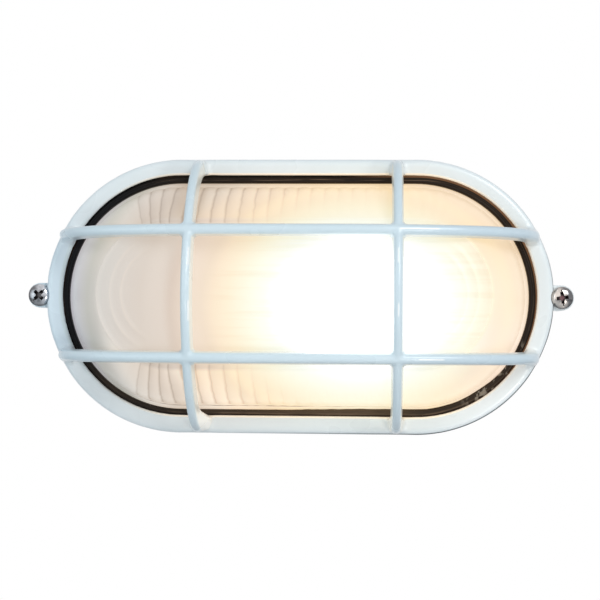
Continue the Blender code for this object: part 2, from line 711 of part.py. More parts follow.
def make_guard_screws():
    recess = 0.52 * SCREW_HEAD_RADIUS
    for (name, degrees), side in zip(SCREW_TURNS.items(), (-1, 1)):
        place = (side * SCREW_X, 0, EAR_TOP + SEAT_GAP)
        bm = pan_screw(SCREW_SHANK_RADIUS, SCREW_LENGTH, SCREW_HEAD_RADIUS, SCREW_HEAD_HEIGHT, 20)
        screw = add_piece(name, bm, stainless, place)
        angle = math.radians(degrees)
        for turned in (0, math.pi / 2):
            cut_slot(screw, 2 * recess, 0.42 * recess, recess, SCREW_HEAD_HEIGHT, place, angle + turned)


def make_small_screw(name, finish, place, rotation=(0, 0, 0), length=SMALL_SCREW_DEPTH):
    reach = length - SCREW_CLEARANCE
    bm = pan_screw(SMALL_SCREW_RADIUS, reach, SMALL_SCREW_HEAD_RADIUS, SMALL_SCREW_HEAD_HEIGHT, SMALL_STEPS)
    screw = add_piece(name, bm, finish, place, rotation)
    slot = box(1.6 * SMALL_SCREW_HEAD_RADIUS, 0.25 * SMALL_SCREW_HEAD_RADIUS, SMALL_SCREW_HEAD_HEIGHT)
    bmesh.ops.translate(slot, verts=slot.verts, vec=(0, 0, SMALL_SCREW_HEAD_HEIGHT))
    combine(screw, slot, "DIFFERENCE", place, rotation)


# Lampholder

def bracket_screw_places():
    middle = BRACKET_X - BRACKET_THICKNESS - 0.5 * (BRACKET_FOOT - BRACKET_THICKNESS)
    return [(middle, -BRACKET_SCREW_Y), (middle, BRACKET_SCREW_Y)]


def make_bracket():
    # A strip bent to an L, drawn as its side view and given its width
    foot = BOSS_TOP + SEAT_GAP
    top = LAMP_DEPTH + BRACKET_TOP_MARGIN
    thick = BRACKET_THICKNESS
    left = BRACKET_X - BRACKET_FOOT
    side_view = [
        (left, foot),
        *arc((BRACKET_X - 2 * thick, foot + 2 * thick), 2 * thick, -90, 0, 3),
        (BRACKET_X, top),
        (BRACKET_X - thick, top),
        *arc((BRACKET_X - 2 * thick, foot + 2 * thick), thick, 0, -90, 3),
        (left, foot + thick),
    ]
    bm = prism(side_view, -0.5 * BRACKET_WIDTH, 0.5 * BRACKET_WIDTH)
    bracket = add_piece("lampholder_bracket", bm, zinc_plate, rotation=(math.pi / 2, 0, 0))
    hole = SMALL_SCREW_RADIUS + SCREW_CLEARANCE
    foot_holes = rods(bracket_screw_places(), hole, foot - thick, foot + 2 * thick)
    combine(bracket, foot_holes, "DIFFERENCE")
    places = [(0, -HOLDER_SCREW_SPACING), (0, HOLDER_SCREW_SPACING)]
    plate_holes = rods(places, hole, -2 * thick, thick)
    combine(bracket, plate_holes, "DIFFERENCE", (BRACKET_X, 0, LAMP_DEPTH), ALONG_LAMP)
    for name, (x, y) in zip(("bracket_screw_lower", "bracket_screw_upper"), bracket_screw_places()):
        make_small_screw(name, zinc_plate, (x, y, foot + thick + SEAT_GAP), length=SMALL_SCREW_DEPTH + thick)


def terminal_direction(side):
    # Unit vector from the lamp's axis to a terminal, side 1 towards the front and -1 towards the wall
    return Vector((0, math.cos(TERMINAL_ANGLE), side * math.sin(TERMINAL_ANGLE)))


def make_holder():
    edge = 0.1 * HOLDER_BASE_RADIUS
    step = HOLDER_BASE_RADIUS - HOLDER_SKIRT_RADIUS
    profile = [
        (0, 0),
        (HOLDER_BASE_RADIUS - edge, 0),
        (HOLDER_BASE_RADIUS, edge),
        (HOLDER_BASE_RADIUS, HOLDER_BASE_LENGTH - step),
        (HOLDER_SKIRT_RADIUS, HOLDER_BASE_LENGTH),
        (HOLDER_SKIRT_RADIUS, HOLDER_LENGTH - 0.5 * step),
        (HOLDER_SKIRT_RADIUS - 0.5 * step, HOLDER_LENGTH),
        (HOLDER_BORE + 0.2 * step, HOLDER_LENGTH),
        (HOLDER_BORE, HOLDER_LENGTH - 0.2 * step),
        (HOLDER_BORE, HOLDER_FLOOR),
        (0, HOLDER_FLOOR),
    ]
    place = (HOLDER_START, 0, LAMP_DEPTH)
    holder = add_piece("lampholder_body", turn(profile, 20), porcelain, place, ALONG_LAMP)
    slot_top = HOLDER_BASE_RADIUS + TERMINAL_SLOT_DEPTH
    slot_floor = HOLDER_BASE_RADIUS - TERMINAL_SLOT_DEPTH
    slot_x = HOLDER_START + TERMINAL_SLOT_START + 0.5 * TERMINAL_SLOT_LENGTH
    for side, name in ((1, "lampholder_terminal_live"), (-1, "lampholder_terminal_neutral")):
        towards = terminal_direction(side)
        tilt = (side * TERMINAL_ANGLE - math.pi / 2, 0, 0)
        slot = box(TERMINAL_SLOT_LENGTH, TERMINAL_SLOT_WIDTH, slot_top - slot_floor)
        middle = Vector((slot_x, 0, LAMP_DEPTH)) + towards * 0.5 * (slot_top + slot_floor)
        combine(holder, slot, "DIFFERENCE", middle, tilt)
        terminal_x = slot_x + 0.5 * TERMINAL_SLOT_LENGTH - TERMINAL_RADIUS - SEAT_GAP
        seat = Vector((terminal_x, 0, LAMP_DEPTH)) + towards * (slot_floor + SEAT_GAP)
        waist = 0.7 * TERMINAL_RADIUS
        terminal = [
            (0, 0),
            (TERMINAL_RADIUS, 0),
            (TERMINAL_RADIUS, 0.5 * TERMINAL_RADIUS),
            (waist, 0.5 * TERMINAL_RADIUS),
            (waist, 0.8 * TERMINAL_RADIUS),
            (TERMINAL_RADIUS, 0.8 * TERMINAL_RADIUS),
            (TERMINAL_RADIUS, 1.4 * TERMINAL_RADIUS),
            (0, 1.5 * TERMINAL_RADIUS),
        ]
        add_piece(name, turn(terminal, SMALL_STEPS), brass, seat, tilt)

    screw_holes = rods(
        [(0, -HOLDER_SCREW_SPACING), (0, HOLDER_SCREW_SPACING)],
        SMALL_SCREW_RADIUS + SCREW_CLEARANCE,
        -SMALL_SCREW_DEPTH,
        2 * SMALL_SCREW_DEPTH,
    )
    combine(holder, screw_holes, "DIFFERENCE", place, ALONG_LAMP)
    head_x = BRACKET_X - BRACKET_THICKNESS - SEAT_GAP
    for name, side in (("lampholder_screw_lower", -1), ("lampholder_screw_upper", 1)):
        screw_place = (head_x, side * HOLDER_SCREW_SPACING, LAMP_DEPTH)
        length = 2 * SMALL_SCREW_DEPTH
        make_small_screw(name, zinc_plate, screw_place, TOWARDS_BRACKET, length)


def make_shell_and_contact():
    mouth = HOLDER_LENGTH - HOLDER_FLOOR - 2 * SEAT_GAP
    shell = [(SHELL_OUTER, 0), (SHELL_OUTER, mouth), (SHELL_INNER, mouth), (SHELL_INNER, 0)]
    place = (CONTACT_START, 0, LAMP_DEPTH)
    add_piece("lampholder_shell", turn(shell, 20, closed=True), brass, place, ALONG_LAMP)

    # A spring tongue: a flat foot, a rise and a rounded tip under the lamp's contact
    thick = SHELL_WALL
    reach = 0.5 * SHELL_INNER
    tip = CONTACT_RISE - thick
    above = [(-reach, 0), (0.2 * reach, 0), (-0.5 * reach, 0.6 * tip), (-0.2 * reach, tip), (0.6 * reach, tip)]
    offset = [(x, z + thick) for x, z in above]
    side_view = [above[0], above[1], (0.2 * reach, thick), (-0.3 * reach, thick)]
    side_view += [(-0.4 * reach, 0.6 * tip), (-0.2 * reach, tip - 0.2 * thick), above[4], offset[4], offset[3]]
    side_view += [(-0.6 * reach, 0.7 * tip), (-0.55 * reach, thick), offset[0]]
    bm = prism(side_view, -0.5 * CONTACT_WIDTH, 0.5 * CONTACT_WIDTH)
    bmesh.ops.rotate(bm, verts=bm.verts, cent=(0, 0, 0), matrix=Matrix.Rotation(math.pi / 2, 3, "X"))
    add_piece("lampholder_contact", bm, bronze, place, ALONG_LAMP)


# Lamp, drawn along Z from its centre contact at 0

def lamp_profile():
    neck_start = CAP_LENGTH + SEAT_GAP
    globe_middle = LAMP_LENGTH - LAMP_RADIUS
    neck_end = neck_start + 0.4 * LAMP_NECK_RADIUS
    sides = []
    for step in range(7):
        share = step / 6
        ease = 0.5 - 0.5 * math.cos(math.pi * share**0.9)
        radius = LAMP_NECK_RADIUS + (LAMP_RADIUS - LAMP_NECK_RADIUS) * ease
        sides.append((radius, neck_end + (globe_middle - neck_end) * share))
    globe = arc((0, globe_middle), LAMP_RADIUS, 0, 90, 7)
    start = CAP_RADIUS - CAP_THREAD_DEPTH
    return [(0, neck_start), (start, neck_start), *sides, *globe[1:-1], (0, LAMP_LENGTH)]


def make_lamp():
    place = (LAMP_START, 0, LAMP_DEPTH)
    add_piece("lamp_bulb", turn(lamp_profile(), 20), opal_glass, place, ALONG_LAMP)

    contact_height = 0.25 * CAP_CONTACT_RADIUS
    insulator_top = 4 * contact_height
    contact = [(0, 0), (0.8 * CAP_CONTACT_RADIUS, 0), (CAP_CONTACT_RADIUS, contact_height), (0, contact_height)]
    add_piece("lamp_cap_contact", turn(contact, 16), nickel, place, ALONG_LAMP)
    insulator = [
        (0, contact_height + SEAT_GAP),
        (CAP_CONTACT_RADIUS, contact_height + SEAT_GAP),
        (0.75 * CAP_RADIUS, insulator_top),
        (0, insulator_top),
    ]
    add_piece("lamp_cap_insulator", turn(insulator, 16), black_glass, place, ALONG_LAMP)

    thread_start = insulator_top + SEAT_GAP
    cap = [(0, thread_start), (0.78 * CAP_RADIUS, thread_start)]
    root = CAP_RADIUS - CAP_THREAD_DEPTH
    turns = int((CAP_LENGTH - thread_start) / CAP_THREAD_PITCH)
    for index in range(turns):
        height = thread_start + (index + 0.5) * CAP_THREAD_PITCH
        cap += [(root, height - 0.25 * CAP_THREAD_PITCH), (CAP_RADIUS, height + 0.25 * CAP_THREAD_PITCH)]
    cap += [(CAP_RADIUS, CAP_LENGTH), (0, CAP_LENGTH)]
    add_piece("lamp_cap", turn(cap, 20), nickel, place, ALONG_LAMP)


# Terminal block, earth and leads

def barrel_places():
    depth = BOSS_TOP + SEAT_GAP + 0.42 * BLOCK_HEIGHT
    return {
        "live": (BLOCK_X, 0.5 * BARREL_PITCH, depth),
        "neutral": (BLOCK_X, -0.5 * BARREL_PITCH, depth),
    }


def make_terminal_block():
    bottom = BOSS_TOP + SEAT_GAP
    top = bottom + BLOCK_HEIGHT
    middle = (BLOCK_X, 0, 0.5 * (bottom + top))
    bm = box(BLOCK_LENGTH, BLOCK_WIDTH, BLOCK_HEIGHT, edge=0.0008)
    block = add_piece("terminal_block", bm, porcelain, middle)
    bores = bmesh.new()
    bore_reach = 0.6 * BLOCK_LENGTH
    for name, (x, y, depth) in barrel_places().items():
        merge_shape(bores, rod(BARREL_RADIUS + SEAT_GAP, -bore_reach, bore_reach, 16), (0, y, 0))
        tube = [
            (BARREL_BORE, -0.5 * BARREL_LENGTH),
            (BARREL_RADIUS, -0.5 * BARREL_LENGTH),
            (BARREL_RADIUS, 0.5 * BARREL_LENGTH),
            (BARREL_BORE, 0.5 * BARREL_LENGTH),
        ]
        add_piece(f"terminal_barrel_{name}", turn(tube, 16, closed=True), brass, (x, y, depth), ALONG_LAMP)
    combine(block, bores, "DIFFERENCE", (BLOCK_X, 0, barrel_places()["live"][2]), ALONG_LAMP)

    screw_bottom = barrel_places()["live"][2] + BARREL_RADIUS + SEAT_GAP
    screw_top = top - SMALL_SCREW_HEAD_HEIGHT * 0.4
    wells = rods([(BLOCK_X, 0)], SMALL_SCREW_RADIUS + SCREW_CLEARANCE, 0, 2 * top)
    for name, (x, y, depth) in barrel_places().items():
        for place, side in (("in", 1), ("out", -1)):
            clamp_x = x + side * 0.5 * CLAMP_SPACING
            merge_shape(wells, rod(CLAMP_SCREW_RADIUS + SCREW_CLEARANCE, depth, 2 * top), (clamp_x, y, 0))
            clamp = add_piece(
                f"terminal_screw_{name}_{place}",
                rod(CLAMP_SCREW_RADIUS, screw_bottom, screw_top),
                brass,
                (clamp_x, y, 0),
            )
            slot = box(3 * CLAMP_SCREW_RADIUS, 0.4 * CLAMP_SCREW_RADIUS, CLAMP_SCREW_RADIUS)
            combine(clamp, slot, "DIFFERENCE", (clamp_x, y, screw_top))
    combine(block, wells, "DIFFERENCE")
    screw_place = (BLOCK_X, 0, top + SEAT_GAP)
    make_small_screw("terminal_block_screw", zinc_plate, screw_place, length=SMALL_SCREW_DEPTH + BLOCK_HEIGHT)


def make_earth():
    washer_bottom = BOSS_TOP + SEAT_GAP
    washer_top = washer_bottom + WASHER_THICKNESS
    hole = SMALL_SCREW_RADIUS + SCREW_CLEARANCE
    outer = EARTH_BOSS_RADIUS - SEAT_GAP
    ring = [(hole, washer_bottom), (outer, washer_bottom), (outer, washer_top), (hole, washer_top)]
    add_piece("earth_washer", turn(ring, 16, closed=True), brass, (EARTH_X, EARTH_Y, 0))
    place = (EARTH_X, EARTH_Y, washer_top + SEAT_GAP)
    make_small_screw("earth_screw", brass, place, length=SMALL_SCREW_DEPTH + WASHER_THICKNESS)


def make_lead(name, finish, points):
    path = smooth_path(points, 3)
    curve = bpy.data.curves.new(name, "CURVE")
    curve.dimensions = "3D"
    curve.bevel_depth = LEAD_RADIUS
    curve.bevel_resolution = 2
    curve.use_fill_caps = True
    curve.materials.append(finish)
    spline = curve.splines.new("POLY")
    spline.points.add(len(path) - 1)
    for slot, point in zip(spline.points, path):
        slot.co = (*point, 1.0)
    lead = bpy.data.objects.new(name, curve)
    lead.parent = wall_frame
    bpy.context.scene.collection.objects.link(lead)


def make_leads():
    # Each lead leaves its barrel, runs along the floor beside the lamp and climbs to its terminal on the holder
    slot_x = HOLDER_START + TERMINAL_SLOT_START + LEAD_RADIUS + 2 * SEAT_GAP
    slot_floor = HOLDER_BASE_RADIUS - TERMINAL_SLOT_DEPTH
    slot_mouth = HOLDER_BASE_RADIUS + 3 * LEAD_RADIUS
    axis = Vector((slot_x, 0, LAMP_DEPTH))
    barrel_reach = 0.3 * BARREL_LENGTH
    block_reach = 0.5 * BLOCK_LENGTH
    run_start = BLOCK_X - LEAD_RUN_START
    run_end = BRACKET_X + LEAD_RUN_END
    for name, side, finish in (("live", 1, brown_sleeve), ("neutral", -1, blue_sleeve)):
        barrel = Vector(barrel_places()[name])
        towards = terminal_direction(side)
        run_y = GUARD_RADIUS - LEAD_INSETS[name]
        start = [barrel - Vector((reach, 0, 0)) for reach in (barrel_reach, block_reach, 1.4 * block_reach)]
        run = [Vector((x, run_y, LEAD_RUN_DEPTH)) for x in (run_start, 0.5 * (run_start + run_end), run_end)]
        end = [axis + towards * reach for reach in (slot_mouth + LEAD_LOOP, slot_mouth, slot_floor + LEAD_RADIUS)]
        bend = start[-1].lerp(run[0], 0.5)
        climb = [run[-1].lerp(end[0], share) for share in (0.2, 0.65)]
        make_lead(f"lead_{name}", finish, [*start, bend, *run, *climb, *end])


make_housing()
make_grommet()
make_seal()
make_glass()
make_guard()
make_guard_screws()
make_bracket()
make_holder()
make_shell_and_contact()
make_lamp()
make_terminal_block()
make_earth()
make_leads()
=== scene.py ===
import math

import bmesh
import bpy
from mathutils import Matrix, Vector, noise


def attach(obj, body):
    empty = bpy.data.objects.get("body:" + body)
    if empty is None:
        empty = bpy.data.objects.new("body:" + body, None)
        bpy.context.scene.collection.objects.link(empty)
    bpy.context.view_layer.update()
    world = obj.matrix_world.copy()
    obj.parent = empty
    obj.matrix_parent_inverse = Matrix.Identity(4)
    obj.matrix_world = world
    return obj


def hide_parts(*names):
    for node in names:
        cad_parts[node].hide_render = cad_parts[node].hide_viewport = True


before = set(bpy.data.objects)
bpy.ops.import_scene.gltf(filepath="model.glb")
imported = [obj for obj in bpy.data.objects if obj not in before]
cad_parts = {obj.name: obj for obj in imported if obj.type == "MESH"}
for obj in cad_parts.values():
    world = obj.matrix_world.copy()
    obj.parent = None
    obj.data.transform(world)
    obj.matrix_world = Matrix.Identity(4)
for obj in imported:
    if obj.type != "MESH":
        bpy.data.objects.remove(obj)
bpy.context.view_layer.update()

print("frame loaded,", len(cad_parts), "nodes")

# Pieces are drawn in millimetres, lying on their back with Z out of the wall, then stood up to face -Y
standUp = Matrix.Rotation(math.pi / 2, 4, "X") @ Matrix.Scale(0.001, 4)

oval = {
    "halfStraight": 48.1,
    "endSteps": 56,  # facets round each half circle
    "glassShift": -0.3,  # the glass and its seal sit a little to the left
}


# Shape helpers
def newParts(geometry):
    corners = [item for item in geometry if isinstance(item, bmesh.types.BMVert)]
    ends = set(corners)
    edges = [item for item in geometry if isinstance(item, bmesh.types.BMEdge)]
    return corners, [edge for edge in edges if ends.issuperset(edge.verts)]


def drawProfile(bm, points, closed):
    corners = [bm.verts.new(point) for point in points]
    sides = [bm.edges.new(pair) for pair in zip(corners, corners[1:])]
    if closed:
        sides.append(bm.edges.new((corners[-1], corners[0])))
    return corners, sides


def tidyShape(bm):
    bmesh.ops.remove_doubles(bm, verts=bm.verts, dist=0.001)
    bmesh.ops.recalc_face_normals(bm, faces=bm.faces)
    return bm


def sweepOval(profile, closed, sideSteps, bends=None):
    # carries a (radius, depth) profile along one side, round the end, and back
    bends = bends or ((math.pi, oval["endSteps"]),)
    half = oval["halfStraight"]
    bm = bmesh.new()
    corners, sides = drawProfile(bm, [(-half, -radius, depth) for radius, depth in profile], closed)
    for direction in (1, -1):
        for _ in range(sideSteps):
            corners, sides = newParts(bmesh.ops.extrude_edge_only(bm, edges=sides)["geom"])
            bmesh.ops.translate(bm, verts=corners, vec=(direction * 2 * half / sideSteps, 0, 0))
        for angle, steps in bends:
            moved, center = corners + sides, (direction * half, 0, 0)
            turned = bmesh.ops.spin(bm, geom=moved, cent=center, axis=(0, 0, 1), angle=angle, steps=steps)
            corners, sides = newParts(turned["geom_last"])
    return tidyShape(bm)


def turnProfile(profile, steps):
    # turns a (radius, height) profile about Z
    bm = bmesh.new()
    corners, sides = drawProfile(bm, [(radius, 0, height) for radius, height in profile], False)
    moved, full = corners + sides, 2 * math.pi
    bmesh.ops.spin(bm, geom=moved, cent=(0, 0, 0), axis=(0, 0, 1), angle=full, steps=steps, use_merge=True)
    return tidyShape(bm)


def filletPath(corners, steps=4):
    # corners are (radius, depth) or (radius, depth, fillet); a fillet becomes a short arc
    path = []
    count = len(corners)
    for index, corner in enumerate(corners):
        here = Vector(corner[:2])
        size = corner[2] if len(corner) > 2 else 0
        if not size:
            path.append(tuple(here))
            continue
        before = (Vector(corners[index - 1][:2]) - here).normalized()
        after = (Vector(corners[(index + 1) % count][:2]) - here).normalized()
        opening = before.angle(after)
        reach = size / math.tan(opening / 2)
        center = here + (before + after).normalized() * size / math.sin(opening / 2)
        start = here + before * reach - center
        sweep = math.pi - opening
        turnSign = 1 if start.x * after.y - start.y * after.x > 0 else -1
        for step in range(steps + 1):
            turned = Matrix.Rotation(turnSign * sweep * step / steps, 2) @ start
            path.append(tuple(center + turned))
    return path


def fromMiddle(x, y):
    # the way from the oval's middle line to a point
    half = oval["halfStraight"]
    return Vector((x - max(-half, min(half, x)), y, 0))


def eased(value, low, high):
    share = min(1.0, max(0.0, (value - low) / (high - low)))
    return share * share * (3 - 2 * share)


def mergeShape(bm, shape, matrix=Matrix()):
    bmesh.ops.transform(shape, verts=shape.verts, matrix=matrix)
    mesh = bpy.data.meshes.new("merged")
    shape.to_mesh(mesh)
    shape.free()
    bm.from_mesh(mesh)
    bpy.data.meshes.remove(mesh)


def newObject(name, data):
    made = bpy.data.objects.new(name, data)
    bpy.context.scene.collection.objects.link(made)
    return made


def turnedAt(places, profile):
    posts = bmesh.new()
    for x, y in places:
        mergeShape(posts, turnProfile(profile, 48), Matrix.Translation((x, y, 0)))
    return posts


def rawObject(name, bm):
    # an object still in drawing millimetres
    mesh = bpy.data.meshes.new(name)
    bm.to_mesh(mesh)
    bm.free()
    return newObject(name, mesh)


def bakeModifiers(piece):
    # replaces the mesh with what its modifiers give
    graph = bpy.context.evaluated_depsgraph_get()
    mesh = bpy.data.meshes.new_from_object(piece.evaluated_get(graph))
    piece.modifiers.clear()
    old = piece.data
    piece.data = mesh
    bpy.data.meshes.remove(old)


def combine(piece, bm, operation):
    tool = rawObject("tool", bm)
    boolean = piece.modifiers.new(operation, "BOOLEAN")
    boolean.operation = operation
    boolean.solver = "EXACT"
    boolean.object = tool
    bakeModifiers(piece)
    bpy.data.objects.remove(tool, do_unlink=True)


def finishPiece(piece, material, slot, *nodes, sharp):
    # stands a drawn piece up, gives it its finish, hangs it on the root and hides the CAD nodes it takes
    # the place of
    piece.data.transform(standUp)
    piece.data.materials.clear()
    piece.data.materials.append(material)
    piece.data.shade_smooth()
    piece.data.set_sharp_from_angle(angle=math.radians(sharp))
    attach(piece, "root")
    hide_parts(*nodes)
    return piece


# Shader helpers
class Wire:
    # an output socket, on which sums write themselves as Math nodes
    def __init__(self, recipe, socket):
        self.recipe = recipe
        self.socket = socket

    def sum(self, operation, *values):
        return self.recipe.add("ShaderNodeMath", {"operation": operation}, dict(enumerate(values)))

    def __add__(self, other):
        return self.sum("ADD", self, other)

    def __sub__(self, other):
        return self.sum("SUBTRACT", self, other)

    def __rsub__(self, other):
        return self.sum("SUBTRACT", other, self)

    def __mul__(self, other):
        return self.sum("MULTIPLY", self, other)

    def __truediv__(self, other):
        return self.sum("DIVIDE", self, other)

    def __rtruediv__(self, other):
        return self.sum("DIVIDE", other, self)

    def __pow__(self, other):
        return self.sum("POWER", self, other)

    def __abs__(self):
        return self.sum("ABSOLUTE", self)

    __radd__ = __add__
    __rmul__ = __mul__

    def atLeast(self, other):
        return self.sum("MAXIMUM", self, other)

    def atMost(self, other):
        return self.sum("MINIMUM", self, other)

    def sign(self):
        return self.sum("SIGN", self)

    def fraction(self):
        return self.sum("FRACT", self)

    def clipped(self):
        return self.atLeast(0.0).atMost(1.0)

    def between(self, low, high):
        # 0 below low, 1 above high, eased in the middle
        settings = {"interpolation_type": "SMOOTHSTEP"}
        inputs = {"Value": self, "From Min": low, "From Max": high}
        return self.recipe.add("ShaderNodeMapRange", settings, inputs)

    def below(self, low, high):
        # the other way round: 1 below low, 0 above high
        return 1 - self.between(low, high)

    def band(self, begins, full, ends, gone):
        # rises from begins to full and falls from ends to gone
        return self.between(begins, full) * self.below(ends, gone)

    def line(self, middle, reach):
        # 1 at the middle, 0 from reach away on either side
        return 1 - (abs(self - middle) / reach).atMost(1.0)


class Recipe:
    # the node tree of a material or world
    def __init__(self, owner):
        owner.use_nodes = True
        self.tree = owner.node_tree
        self.tree.nodes.clear()

    def add(self, kind, settings=None, inputs=None, output=0):
        node = self.tree.nodes.new(kind)
        for name, value in (settings or {}).items():
            if name == "stops":
                self.setStops(node.color_ramp, value)
            else:
                setattr(node, name, value)
        for name, value in (inputs or {}).items():
            if isinstance(value, Wire):
                self.tree.links.new(value.socket, node.inputs[name])
            elif value is not None:
                node.inputs[name].default_value = value
        return Wire(self, node.outputs[output]) if node.outputs else node

    def setStops(self, ramp, stops):
        while len(ramp.elements) < len(stops):
            ramp.elements.new(1.0)
        for element, (position, color) in zip(ramp.elements, stops):
            element.position = position
            element.color = (*color, 1.0)

    def place(self):
        return self.add("ShaderNodeTexCoord", output="Object")

    def millimetres(self):
        # the place, and its measures to the right, out of the wall and up
        vector = self.place()
        x, y, z = (self.add("ShaderNodeSeparateXYZ", inputs={0: vector}, output=axis) for axis in range(3))
        return vector, x * 1000.0, y * -1000.0, z * 1000.0

    def noise(self, vector, scale, detail=2.0, stretch=None):
        if stretch:
            vector = self.add("ShaderNodeVectorMath", {"operation": "MULTIPLY"}, {0: vector, 1: stretch})
        inputs = {"Vector": vector, "Scale": scale, "Detail": detail}
        return self.add("ShaderNodeTexNoise", inputs=inputs, output="Fac")

    def blend(self, factor, first, second, mode="MIX"):
        inputs = {0: factor, 6: opaque(first), 7: opaque(second)}
        return self.add("ShaderNodeMix", {"data_type": "RGBA", "blend_type": mode}, inputs, output=2)

    def dash(self, across, along, middle, start, end, softEnd=0.8):
        # a short soft line
        begun = along.between(start - softEnd, start + softEnd)
        ended = along.between(end - softEnd, end + softEnd)
        return abs(across - middle).below(0.12, 0.45) * (begun - ended)

    def bump(self, height, distance):
        return self.add("ShaderNodeBump", inputs={"Height": height, "Distance": distance, "Strength": 1.0})

    def ovalRadius(self, x, z, lift=0.0):
        # how far past the straight sides, and how far out from the middle line of the oval
        past = (abs(x) - oval["halfStraight"]).atLeast(0.0)
        up = z - lift if lift else z
        return past, (past * past + up * up) ** 0.5

    def surface(self, color, roughness, normal=None, others=None):
        inputs = {"Base Color": opaque(color), "Roughness": roughness, "Normal": normal, **(others or {})}
        shader = self.add("ShaderNodeBsdfPrincipled", inputs=inputs)
        self.add("ShaderNodeOutputMaterial", inputs={"Surface": shader})


def opaque(value):
    # a colour of three numbers gets its alpha
    if isinstance(value, tuple) and len(value) == 3:
        return (*value, 1.0)
    return value


def newMaterial(name, color, roughness, metallic=0.0):
    material = bpy.data.materials.new(name)
    material.diffuse_color = (*color, 1.0)
    material.roughness = roughness
    material.metallic = metallic
    return material, Recipe(material)


def makeMetal(name, color, roughness, scale, tarnish=0.75):
    # plain metal with faint tooling marks and a little tarnish
    material, recipe = newMaterial(name, color, roughness, 1.0)
    vector = recipe.place()
    marks = recipe.noise(vector, scale, 3.0)
    patches = recipe.noise(vector, 120.0, 2.0)
    dull = tuple(part * tarnish for part in color)
    mixed = recipe.blend(patches.between(0.35, 0.8), color, dull)
    recipe.surface(mixed, roughness + (marks - 0.5) * 0.15, recipe.bump(marks, 0.00001), {"Metallic": 1.0})
    return material


def makePlain(name, color, shade, roughness, scale, coat=0.0):
    # ceramic, glass or sleeve with a slight drift of colour
    material, recipe = newMaterial(name, color, roughness)
    vector = recipe.place()
    drift = recipe.noise(vector, scale, 3.0)
    mixed = recipe.blend(drift.between(0.3, 0.75), color, shade)
    others = {"Coat Weight": coat}
    recipe.surface(mixed, roughness + (drift - 0.5) * 0.08, recipe.bump(drift, 0.00002), others)
    return material


# Guard
guardSizes = {
    "radius": 56.4,
    "bottom": 40.1,
    "front": 49.0,
    "underLip": 46.6,
    "wall": 3.0,
    "window": 49.45,
    "windowLift": 0.4,  # the window sits a little high in the ring
    "edgeRound": 2.0,
    "innerRound": 1.1,
    "uprightWidths": (3.5, 4.9),  # in front and behind
    "crossbarWidths": (4.1, 5.2),
    "barDepth": 7.1,
    "flare": 1.9,
    "flareHeight": 9.0,
    "footHeight": 9.0,  # the bar reaches its full depth here
    "sink": 1.8,  # how far bars and ears reach into the ring
    "inset": 0.6,
    "uprightX": 40.4,
    "uprightRise": 47.9,
    "uprightPower": 1.79,
    "crossbarY": 24.62,
    "crossbarPower": 3.1,
    "screwX": 107.9,
    "earRadius": 5.2,
    "earTop": 44.3,
    "seatRadius": 4.9,
    "holeRadius": 2.25,
    # web beside the lower left foot: right of the bar, up the ring and out of the wall
    "web": (
        (1.0, -55.4, 48.2),
        (3.8, -55.2, 48.9),
        (5.8, -51.4, 48.9),
        (5.0, -49.6, 47.6),
        (1.0, -49.6, 47.6),
        (2.2, -45.8, 66.0),
        (1.2, -51.0, 66.0),
    ),
    "voxel": 0.64,
    "smoothing": 4,
    "clear": (4.6, 8.6),  # how far from a bar or an ear the ring keeps its own shape
}

enamelLook = {
    "color": (0.855, 0.90, 0.92),
    "shade": (0.825, 0.88, 0.90),
    "roughness": 0.28,
    "coat": 0.18,
    "coatRoughness": 0.12,
    "orangePeel": 0.00003,
    # painted light and shade on the ring, whose face lies between these depths
    "ringFace": (46.0, 46.6, 49.2, 50.0),
    "leftEndPaintedShade": (0.89, 0.965, 1.02),  # the left end is bluer
    "lowRightPaintedLight": (0.93, 0.97, 0.98),  # and the lower right is the whitest
    "rimEdge": (55.7, 56.0),
    "rimShade": (0.07, 0.09, 0.10),  # the outer edge turns away from the light
    # painted light on the inner edge of the ring, and painted shade at its left end
    "innerFace": (46.2, 46.7, 49.0, 50.0),
    "innerEdge": (1.0, 0.93, 0.82),  # takes light from the glass
    "innerShade": (0.66, 0.76, 0.77),  # and at the left end it doesn't
    "innerGlow": 0.12,
    # painted light and shade on the bars: they stand in bluer light, with their sides in the lamp's light
    "barsFrom": (49.0, 59.0),
    "barPaintedShade": (0.83, 0.91, 0.955),
    "barPaintedShadeRight": (0.745, 0.83, 0.895),
    "flank": (0.86, 0.87, 0.82),
    "flankLow": (1.0, 0.99, 0.95),
    "uprightFlank": (1.5, 2.0, 3.8, 4.4),  # from the middle of the bar outwards
    "crossbarFlank": (1.7, 2.2, 3.4, 3.8),
    "footFlare": 2.2,
    # painted highlights as bright dashes along the bars: where across, and from where to where
    "glint": (1.0, 1.0, 1.0),
    "glintsFrom": (80.0, 84.0),
    "uprightGlints": ((-39.3, 10.5, 17.5), (-39.0, -10.5, -3.0), (40.4, 12.0, 17.5), (40.5, -8.5, -3.5)),
    "crossbarGlints": ((25.0, 41.0, 56.0), (-24.8, 48.5, 58.0)),
}


